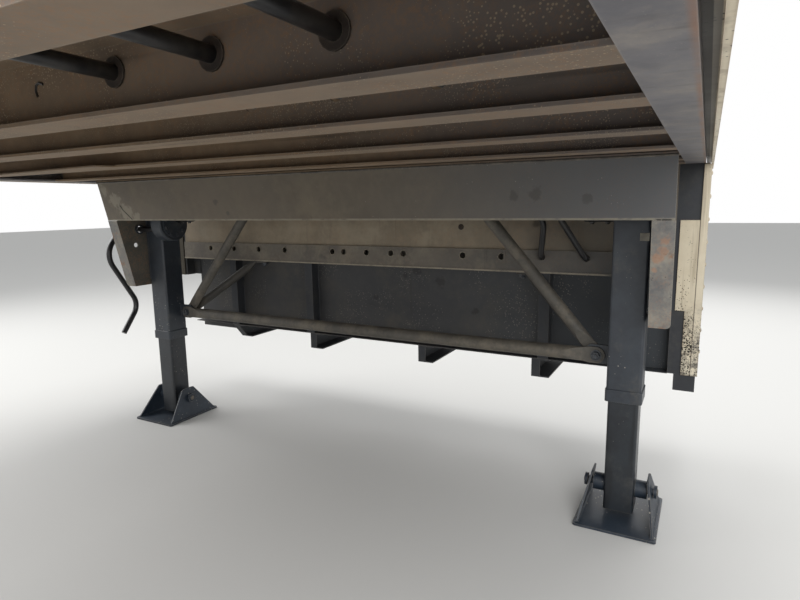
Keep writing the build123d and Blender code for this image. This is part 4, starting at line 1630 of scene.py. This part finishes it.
@dataclass
class CarrierPlate:
    """The deep inclined plate and the end gussets beside it."""

    fit: Fitter
    slope: float = math.radians(12.5)
    foot_x: float = 0.222
    half: float = 1.210
    top: float = -0.132
    bottom: float = -0.307
    bead: float = 0.004
    bead_down: float = 0.002
    # Y and Z of the seams' points on the front face
    seam_lines: tuple[tuple[tuple[float, float], ...], ...] = (
        ((-1.094, -0.238), (-1.080, -0.262), (-1.058, -0.281), (-1.036, -0.303)),
        ((1.163, -0.3065), (1.174, -0.3060)), ((1.177, -0.3065), (1.201, -0.3062)))
    seam_radius: float = 0.0017
    seam_proud: float = 0.0002
    fold_y: float = 1.1575
    fold_heights: tuple[float, float] = (-0.617, -0.315)
    fold_back: float = 0.0092
    shelf_y: float = 1.1505
    shelf_z: float = -0.133
    shelf_ends: tuple[float, float] = (-0.07, 0.2)

    def front(self, z: float) -> float:
        """X of the inclined front face at a height."""
        return self.foot_x + (z - self.bottom) * math.tan(self.slope)

    def build(self) -> None:
        """Dresses the plates and adds their welds and seams."""
        looks = self.fit.looks
        self.fit.dress(looks.carrier, "carrier_plate")
        self.fit.dress(looks.gusset, "gusset_left", "gusset_right")
        x, z = self.front(self.top), self.top - self.bead_down
        lines = [[(x, -self.half, z), (x, self.half, z)]]
        self.fit.welds("carrier_welds", lines, self.bead, looks.weld, "dusty_steel")
        self.gusset_welds()
        self.seams()

    def seams(self) -> None:
        """Dark seams, across the plate's right end and under its left end."""
        mesh = Mesher()
        for line in self.seam_lines:
            path = [(self.front(z) + self.seam_proud, y, z) for y, z in line]
            mesh.rod(path, self.seam_radius, sides=6)
        self.fit.keep(mesh, "plate_seams", self.fit.looks.black, "dusty_steel")

    def gusset_welds(self) -> None:
        """Beads down the folded corners and along the upper edges of both gussets."""
        lines = []
        for side, _ in SIDES[::-1]:
            y = side * self.fold_y
            lines.append([(self.front(z) - self.fold_back, y, z) for z in self.fold_heights])
            lines.append([(x, side * self.shelf_y, self.shelf_z) for x in self.shelf_ends])
        self.fit.welds("gusset_welds", lines, self.bead, self.fit.looks.weld, "dusty_steel")


@dataclass
class Bulkhead:
    """Sheets, rail, ribs and floor at the drop."""

    fit: Fitter
    bead: float = 0.003
    rib_half: float = 0.0212
    rib_foot: float = -0.855
    rib_head_gap: float = 0.004
    sheet_inset: float = 0.0035
    rail_x: float = -0.200
    hole_z: float = -0.461
    holes: tuple[float, ...] = (-1.0, -0.836, -0.672, -0.508, -0.228, -0.166, -0.044, 0.080, 0.142,
                                0.416, 0.580)
    hole_radius: float = 0.01325
    rim_radius: float = 0.0152
    rim_height: float = 0.0008
    rim_sunk: float = 0.0003
    ribs: tuple[float, ...] = (-0.861, -0.377, 0.750)
    plug: Point = (-0.2103, 0.405, -0.346)
    plug_rings: tuple[tuple[float, float], ...] = ((0.0, 0.012), (0.0015, 0.012), (0.003, 0.009))
    clip_x: tuple[float, float] = (-0.201, -0.1978)
    clip_y: tuple[float, float] = (0.5885, 0.5955)
    clip_z: tuple[float, float] = (-0.481, -0.443)
    clip_edge: float = 0.0006
    # Corners of the tie plate, from the back of the sheet and from the post's foot and the sheet's head
    tie_low: Point = (0.004, 0.03, 0.002)
    tie_high: Point = (0.007, 0.002, -0.001)
    tie_edge: float = 0.0004

    def build(self) -> None:
        """Dresses the bulkhead and adds its welds and small parts."""
        looks = self.fit.looks
        self.fit.dress(looks.upper, "bulkhead_upper_sheet")
        self.fit.dress(looks.strip, "bolting_rail")
        self.fit.dress(looks.lower, "bulkhead_lower_sheet")
        self.fit.dress(looks.dark, "bulkhead_ribs", "bottom_longitudinals", "belly_floor")
        self.rib_welds()
        self.hole_rims()
        self.plug_and_clip()
        self.corner_tie()

    def rib_welds(self) -> None:
        """Beads down both sides of each rib on the lower sheet."""
        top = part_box("bulkhead_lower_sheet")[1].z - self.rib_head_gap
        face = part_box("corner_post_right")[0].x + self.sheet_inset
        sides = [rib + way * self.rib_half for rib in self.ribs for way in (-1, 1)]
        lines = [[(face, y, self.rib_foot), (face, y, top)] for y in sides]
        self.fit.welds("rib_welds", lines, self.bead, self.fit.looks.dark, "dark_sheet")

    def hole_rims(self) -> None:
        """Worn rims round the open holes of the bolting rail."""
        mesh = Mesher()
        for y in self.holes:
            foot = (self.rail_x - self.rim_sunk, y, self.hole_z)
            mesh.ring(foot, AHEAD, self.hole_radius, self.rim_radius, self.rim_height)
        self.fit.keep(mesh, "hole_rims", self.fit.looks.carrier, "dusty_steel")

    def plug_and_clip(self) -> None:
        """Round plug in the upper sheet, and the clip that hangs in the last hole of the rail."""
        mesh = Mesher()
        mesh.turned(self.plug, AHEAD, self.plug_rings, sides=20)
        self.fit.keep(mesh, "sheet_plug", self.fit.looks.grommet, "black_plastic")
        low, high = zip(self.clip_x, self.clip_y, self.clip_z)
        mesh = Mesher()
        mesh.block(low, high, self.clip_edge)
        self.fit.keep(mesh, "rail_clip", self.fit.looks.strip, "dusty_steel")

    def corner_tie(self) -> None:
        """Plate that ties the lower sheet's right end to the right corner post."""
        sheet_low, sheet_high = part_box("bulkhead_lower_sheet")
        post_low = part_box("corner_post_right")[0]
        low = Vector((sheet_low.x, post_low.y, post_low.z)) + Vector(self.tie_low)
        high = Vector((sheet_low.x, sheet_low.y, sheet_high.z)) + Vector(self.tie_high)
        mesh = Mesher()
        mesh.block(low, high, self.tie_edge)
        self.fit.keep(mesh, "corner_tie", self.fit.looks.dark, "dark_sheet")


@dataclass
class SupportLegs:
    """Both telescoping legs with their tilting shoes."""

    fit: Fitter
    leg_x: float = 0.021
    leg_y: float = 1.084
    tube: float = 0.054
    collar_top: float = -0.860
    bead: float = 0.0034
    bead_proud: float = 0.0003
    corner_radius: float = 0.008
    lug_y: float = 1.0295
    lug_faces: tuple[float, ...] = (-0.0045, -0.0155)
    lug_heights: tuple[float, float] = (-0.79, -0.737)
    plate_y: float = 1.1505
    plate_edges: tuple[float, ...] = (-0.0335, 0.0625)
    plate_heights: tuple[float, float] = (-0.595, -0.155)
    tab_off: float = 0.025
    tab_width: float = 0.027
    tab_heights: tuple[float, float] = (-0.374, -0.350)
    tab_depths: tuple[float, float] = (-0.001, 0.002)
    tab_edge: float = 0.0006
    nipple_heights: tuple[float, ...] = (-0.455, -0.83)
    nipple_off: float = 0.02
    nipple_rings: tuple[tuple[float, float], ...] = (
        (-0.001, 0.0055), (0.004, 0.0055), (0.0045, 0.003), (0.009, 0.0036), (0.011, 0.002))
    cheek_faces: tuple[float, ...] = (0.1105, 0.1182)
    cheek_half: float = 0.14
    sole_top: float = -1.2985
    sole_bead: float = 0.003
    axle_z: float = -1.207
    button_off: float = 0.1148
    button_rings: tuple[tuple[float, float], ...] = ((0.0, 0.011), (0.002, 0.011), (0.0035, 0.008))

    def build(self) -> None:
        """Dresses both legs and adds their small parts."""
        looks = self.fit.looks
        for side, word in SIDES:
            self.fit.dress(looks.leg, "leg_outer_" + word)
            self.fit.dress(looks.inner, "inner_leg_" + word)
            self.fit.dress(looks.shoe, "shoe_axle_" + word, "shoe_" + word)
            self.grease_points(side, word)
            self.leg_welds(side, word)
            self.shoe_welds(side, word)
            self.axle_ends(side, word)
        self.blank_tab()

    def blank_tab(self) -> None:
        """Small blank tab on the front of the left leg."""
        x, y = self.leg_x + self.tube, self.leg_y + self.tab_off
        (foot, top), (back, front) = self.tab_heights, self.tab_depths
        mesh = Mesher()
        mesh.block((x + back, y, foot), (x + front, y + self.tab_width, top), self.tab_edge)
        self.fit.keep(mesh, "leg_tab", self.fit.looks.carrier, "leg_paint")

    def grease_points(self, side: int, word: str) -> None:
        """Grease nipples on the back of the outer tube.

        Args:
            side: 1 for left, -1 for right.
            word: The side's name.
        """
        mesh = Mesher()
        for z in self.nipple_heights:
            base = (self.leg_x - self.tube, side * self.leg_y - self.nipple_off, z)
            mesh.turned(base, BACK, self.nipple_rings, sides=12)
        self.fit.keep(mesh, "grease_points_" + word, self.fit.looks.leg, "bare_steel")

    def leg_welds(self, side: int, word: str) -> None:
        """Beads round the collar's top, along the brace lug and beside the mounting plate.

        Args:
            side: 1 for left, -1 for right.
            word: The side's name.
        """
        half = self.tube + self.bead_proud
        flat = half - self.corner_radius
        corners = ((flat, -half), (half, -flat), (half, flat), (flat, half), (-flat, half),
                   (-half, flat), (-half, -flat), (-flat, -half), (flat, -half))
        middle = side * self.leg_y
        lines = [[(self.leg_x + x, middle + y, self.collar_top) for x, y in corners]]
        for x in self.lug_faces:
            lines.append([(x, side * self.lug_y, z) for z in self.lug_heights])
        for x in self.plate_edges:
            lines.append([(x, side * self.plate_y, z) for z in self.plate_heights])
        self.fit.welds("leg_welds_" + word, lines, self.bead, self.fit.looks.leg, "leg_paint")

    def shoe_welds(self, side: int, word: str) -> None:
        """Beads where the shoe's cheeks stand on its plate.

        Args:
            side: 1 for left, -1 for right.
            word: The side's name.
        """
        back, front = self.leg_x - self.cheek_half, self.leg_x + self.cheek_half
        rows = [side * self.leg_y + way * off for way in (-1, 1) for off in self.cheek_faces]
        lines = [[(back, y, self.sole_top), (front, y, self.sole_top)] for y in rows]
        self.fit.welds("shoe_welds_" + word, lines, self.sole_bead, self.fit.looks.shoe, "leg_paint",
                       "foot_" + word)

    def axle_ends(self, side: int, word: str) -> None:
        """Worn button on both ends of the shoe's axle.

        Args:
            side: 1 for left, -1 for right.
            word: The side's name.
        """
        mesh = Mesher()
        for way in (-1, 1):
            base = (self.leg_x, side * self.leg_y + way * self.button_off, self.axle_z)
            mesh.turned(base, (0.0, way, 0.0), self.button_rings, sides=20)
        self.fit.keep(mesh, "axle_ends_" + word, self.fit.looks.bare, "bare_steel", "leg_" + word)


@dataclass
class BraceSet:
    """Braces between the legs, the deck and the bulkhead."""

    fit: Fitter
    bolt: HeadSize = HeadSize(HeadShape.HEX, 0.0145, 0.011, stud=0.006)
    # X of the front and the rear face, Y and Z of the bolts at the legs and under the deck
    through_bolts: tuple[tuple[float, float, float, float], ...] = (
        (0.003, -0.041, 0.984, -0.767), (-0.005, -0.023, 0.476, -0.171))
    rail_bolt: Point = (-0.225, 0.660, -0.528)

    def build(self) -> None:
        """Dresses the braces and adds their bolts."""
        looks = self.fit.looks
        names = [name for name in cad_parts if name.startswith("brace_")]
        self.fit.dress(looks.brace, *(name for name in names if "drag" not in name))
        # The drag braces take the darker copy of the brace paint, as painted shade
        self.fit.dress(looks.shaded_rear_brace, "brace_drag_left", "brace_drag_right")
        rail_x, rail_y, rail_z = self.rail_bolt
        places: list[Seat] = []
        for side, _ in SIDES[::-1]:
            for front, rear, y, z in self.through_bolts:
                places += [((front, side * y, z), AHEAD), ((rear, side * y, z), BACK)]
            places.append(((rail_x, side * rail_y, rail_z), DOWN))
        self.fit.heads("brace_bolts", self.bolt, places, looks.leg, "leg_paint")


@dataclass
class Gearing:
    """Gearbox, cross shaft with its couplings, and the folding crank."""

    fit: Fitter
    bolt: HeadSize = HeadSize(HeadShape.HEX, 0.0075, 0.0055)
    face: float = -0.970
    centre_x: float = 0.048
    centre_z: float = -0.326
    shaft_x: float = 0.021
    shaft_z: float = -0.295
    cover_radius: float = 0.066
    cover_notch: float = 0.030
    cover_steps: int = 40
    notch_steps: int = 20
    cover_proud: float = 0.0055
    cover_sunk: float = 0.001
    bolt_circle: float = 0.055
    bolt_count: int = 9
    bolt_clear: float = 0.043
    coupling_rows: tuple[float, ...] = (-0.945, -0.895, 0.957, 1.005)
    coupling_radius: float = 0.0225
    crank_x: float = 0.104
    crank_z: float = -0.352
    bearing_y: float = -1.1512
    bearing_inner: float = 0.0162
    bearing_outer: float = 0.0235
    bearing_depth: float = 0.0062
    pin_y: float = -1.318
    pin_rings: tuple[tuple[float, float], ...] = (
        (0.0, 0.0065), (0.0012, 0.0085), (0.005, 0.0085), (0.005, 0.005), (0.0292, 0.005),
        (0.0292, 0.0085), (0.033, 0.0085), (0.0342, 0.0065))
    cheek_inner: float = 0.0061
    cheek_depth: float = 0.006
    cheek_radius: float = 0.013
    fork_foot: float = 0.034
    fork_floor: float = 0.020
    fork_edge: float = 0.0005
    rod: float = 0.013
    # Start of the rod below the pin, then X and depth below the pin of its bends and its end
    rod_start: float = 0.0275
    rod_corners: tuple[tuple[float, float], ...] = ((0.183, 0.120), (0.019, 0.396), (0.120, 0.530))
    rod_bends: tuple[float, float] = (0.104, 0.078)

    def build(self) -> None:
        """Dresses the gearing and adds its cover, bolts and pins."""
        looks = self.fit.looks
        self.fit.dress(looks.leg, "gearbox")
        self.fit.dress(looks.black, "cross_shaft", "shaft_couplings", "crank_shaft", "crank_handle")
        self.cover()
        self.cover_bolts()
        self.coupling_bolts()
        self.bearing()
        self.handle()

    def cover(self) -> None:
        """Raised round cover of the gearbox, with a round notch beside the cross shaft."""
        wide, notch, y = self.cover_radius, self.cover_notch, self.face - self.cover_sunk
        away = math.hypot(self.shaft_x - self.centre_x, self.shaft_z - self.centre_z)
        along = (away ** 2 + wide ** 2 - notch ** 2) / (2 * away)
        half = math.sqrt(wide ** 2 - along ** 2)
        lean = math.atan2(self.shaft_z - self.centre_z, self.shaft_x - self.centre_x)
        outer, inner = math.atan2(half, along), math.atan2(half, along - away)
        # The outer arc, then the notch's arc back to its start without its two ends
        step = (math.tau - 2 * outer) / self.cover_steps
        angles = [lean + outer + step * n for n in range(self.cover_steps + 1)]
        corners = arc(self.centre_x, y, self.centre_z, wide, angles)
        step = (math.tau - 2 * inner) / self.notch_steps
        angles = [lean - inner - step * n for n in range(1, self.notch_steps)]
        corners += arc(self.shaft_x, y, self.shaft_z, notch, angles)
        mesh = Mesher()
        mesh.prism(corners, (0.0, self.cover_proud + self.cover_sunk, 0.0))
        self.fit.keep(mesh, "gearbox_cover", self.fit.looks.leg, "leg_paint")

    def cover_bolts(self) -> None:
        """Bolts round the cover's edge, apart from those that the notch leaves no room for."""
        angles = [math.tau * (index + 0.5) / self.bolt_count for index in range(self.bolt_count)]
        circle = arc(self.centre_x, self.face + self.cover_proud, self.centre_z, self.bolt_circle, angles)
        places = [(spot, LEFT) for spot in circle
                  if math.hypot(spot[0] - self.shaft_x, spot[2] - self.shaft_z) > self.bolt_clear]
        self.fit.heads("gearbox_bolts", self.bolt, places, self.fit.looks.leg, "leg_paint")

    def coupling_bolts(self) -> None:
        """Through bolts in both couplings, which turn with the shaft."""
        off = self.coupling_radius
        places = [((self.shaft_x, y, self.shaft_z + way * off), (0.0, 0.0, way))
                  for y in self.coupling_rows for way in (-1.0, 1.0)]
        look = self.fit.looks.black
        self.fit.heads("coupling_bolts", self.bolt, places, look, "black_paint", "cross_shaft_body")

    def bearing(self) -> None:
        """Ring round the crank shaft on the right gusset."""
        mesh = Mesher()
        foot = (self.crank_x, self.bearing_y, self.crank_z)
        mesh.ring(foot, LEFT, self.bearing_inner, self.bearing_outer, self.bearing_depth, sides=32)
        self.fit.keep(mesh, "crank_bearing", self.fit.looks.leg, "leg_paint")

    def handle(self) -> None:
        """Smooth crank handle in place of the plain one: fork, cross pin and bent round rod."""
        x, y, z = self.crank_x, self.pin_y, self.crank_z
        inner, outer, half = self.cheek_inner, self.cheek_inner + self.cheek_depth, self.cheek_radius
        mesh = Mesher()
        mesh.turned((x - self.pin_rings[-1][0] / 2, y, z), AHEAD, self.pin_rings, sides=20)
        for side in (-1, 1):
            rings = ((0.0, half), (self.cheek_depth, half))
            mesh.turned((x + side * inner, y, z), (side, 0.0, 0.0), rings, sides=28)
            near, far = sorted((x + side * inner, x + side * outer))
            mesh.block((near, y - half, z - self.fork_foot), (far, y + half, z))
        low, high = (x - outer, y - half, z - self.fork_foot), (x + outer, y + half, z - self.fork_floor)
        mesh.block(low, high, self.fork_edge)
        path = [(x, y, z - self.rod_start)] + [(far, y, z - down) for far, down in self.rod_corners]
        mesh.rod(bent(path, self.rod_bends, steps=12), self.rod, sides=20)
        piece = self.fit.keep(mesh, "smooth_handle", self.fit.looks.black, "black_paint", "handle")
        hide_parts("crank_handle")


@dataclass
class Lines:
    """The three black lines and their rings."""

    fit: Fitter
    radius: float = 0.011
    sides: int = 20
    height: float = -0.071
    turn_x: float = -0.088
    sheet_x: float = -0.210
    rows: tuple[float, ...] = (0.556, 0.739, 0.921)
    # The bends of the first two lines on their way down to the bolting rail
    routes: tuple[tuple[Point, Point], ...] = (
        ((-0.137, 0.761, -0.325), (-0.172, 0.742, -0.459)),
        ((-0.130, 0.824, -0.318), (-0.172, 0.907, -0.459)))
    bends: tuple[float, ...] = (0.06, 0.06, 0.025)

    def build(self) -> None:
        """Dresses lines and rings, and lays smooth lines over the plain ones."""
        self.fit.dress(self.fit.looks.plastic, "conduits")
        self.fit.dress(self.fit.looks.grommet, "conduit_grommets")
        low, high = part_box("conduits")
        mesh = Mesher()
        for row, route in zip(self.rows, self.routes):
            _, end_y, end_z = route[-1]
            corners = [(high.x, row, self.height), (self.turn_x, row, self.height), *route,
                       (self.sheet_x, end_y, end_z)]
            mesh.rod(bent(corners, self.bends), self.radius, self.sides)
        row = self.rows[-1]
        mesh.rod([(high.x, row, self.height), (low.x, row, self.height)], self.radius, self.sides)
        piece = self.fit.keep(mesh, "smooth_lines", self.fit.looks.plastic, "black_plastic")
        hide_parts("conduits")


@dataclass(frozen=True)
class Lamp:
    """One square area lamp."""

    place: Point
    aim: Point
    size: float
    power: float


@dataclass
class Studio:
    """Camera at the photograph's viewpoint, pale floor, soft lamps and a white surround."""

    eye: Point = (1.9635, 1.28625, -0.257)
    right: Point = (-0.47139097, 0.88180821, -0.01431231)
    up: Point = (-0.15106566, -0.06474572, 0.98640111)
    back: Point = (0.86888994, 0.46714267, 0.16373148)
    lens: float = 25.571
    sensor: float = 36.0
    sight: float = 100.0
    ground: float = -1.307
    floor_half: float = 30.0
    floor_gap: float = 0.0005
    floor_colour: Colour = shade(206, 205, 202)
    surround: float = 0.62
    sky: Colour = (0.96, 0.98, 1.0)
    lamps: tuple[Lamp, ...] = (
        Lamp((4.5, 3.0, 1.6), (0.2, 0.2, -0.5), 3.5, 190.0),
        Lamp((1.0, -5.0, 2.2), (0.5, 0.0, -0.4), 3.5, 150.0),
        Lamp((-4.5, 1.5, 2.6), (0.3, 0.0, -0.4), 3.5, 130.0),
        Lamp((0.6, 0.2, 5.0), (0.6, 0.0, 0.0), 4.0, 150.0),
    )

    def build(self) -> None:
        """Builds camera, floor, lamps and world."""
        self.camera()
        self.floor()
        for index, lamp in enumerate(self.lamps):
            self.hang(f"lamp_{index}", lamp)
        self.world()

    def camera(self) -> None:
        """Places the camera."""
        data = bpy.data.cameras.new("camera")
        data.lens, data.sensor_width, data.clip_end = self.lens, self.sensor, self.sight
        made = place_in_scene("camera", data)
        rows = [(*row, place) for row, place in zip(zip(self.right, self.up, self.back), self.eye)]
        made.matrix_world = Matrix((*rows, (0.0, 0.0, 0.0, 1.0)))
        bpy.context.scene.camera = made

    def floor(self) -> None:
        """Lays the floor."""
        mesh = bpy.data.meshes.new("floor")
        far, z = self.floor_half, self.ground - self.floor_gap
        corners = [(-far, -far, z), (far, -far, z), (far, far, z), (-far, far, z)]
        mesh.from_pydata(corners, [], [(0, 1, 2, 3)])
        made = place_in_scene("floor", mesh)
        look = Painter("floor")
        look.set("Base Color", self.floor_colour)
        look.set("Roughness", 0.9)
        mesh.materials.append(look.made)

    def hang(self, name: str, lamp: Lamp) -> None:
        """Hangs a lamp.

        Args:
            name: The lamp's name.
            lamp: Its place, aim, size and power.
        """
        data = bpy.data.lights.new(name, "AREA")
        data.size, data.energy = lamp.size, lamp.power
        made = place_in_scene(name, data)
        made.location = lamp.place
        made.rotation_euler = (Vector(lamp.aim) - Vector(lamp.place)).to_track_quat("-Z", "Y").to_euler()

    def world(self) -> None:
        """Surrounds the part with soft light that shows as white."""
        made = bpy.data.worlds.new("surround")
        made.use_nodes = True
        bpy.context.scene.world = made
        graph = Graph(made.node_tree)
        soft = made.node_tree.nodes["Background"]
        graph.feed(soft.inputs["Strength"], self.surround)
        graph.feed(soft.inputs["Color"], self.sky)
        white = graph.add("ShaderNodeBackground", {"Color": (1.0, 1.0, 1.0)})
        rays = graph.add("ShaderNodeLightPath").outputs
        seen = graph.calc("MAXIMUM", rays["Is Camera Ray"], rays["Is Glossy Ray"])
        seen = graph.calc("MAXIMUM", seen, rays["Is Transmission Ray"])
        both = graph.add("ShaderNodeMixShader", {0: seen, 1: soft.outputs[0], 2: white.outputs[0]})
        graph.feed(made.node_tree.nodes["World Output"].inputs["Surface"], both.outputs[0])
        bpy.context.scene.view_settings.view_transform = "Standard"


def main() -> None:
    """Builds studio and part in order."""
    logging.basicConfig(level=logging.INFO, format="%(name)s: %(message)s")
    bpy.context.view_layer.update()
    Studio().build()
    fit = Fitter(Finishes())
    for assembly in (FloorDeck, SideWalls, CarrierPlate, Bulkhead, SupportLegs, BraceSet, Gearing, Lines):
        assembly(fit).build()
        log.info("%s built", assembly.__name__)


if __name__ == "__main__":
    main()
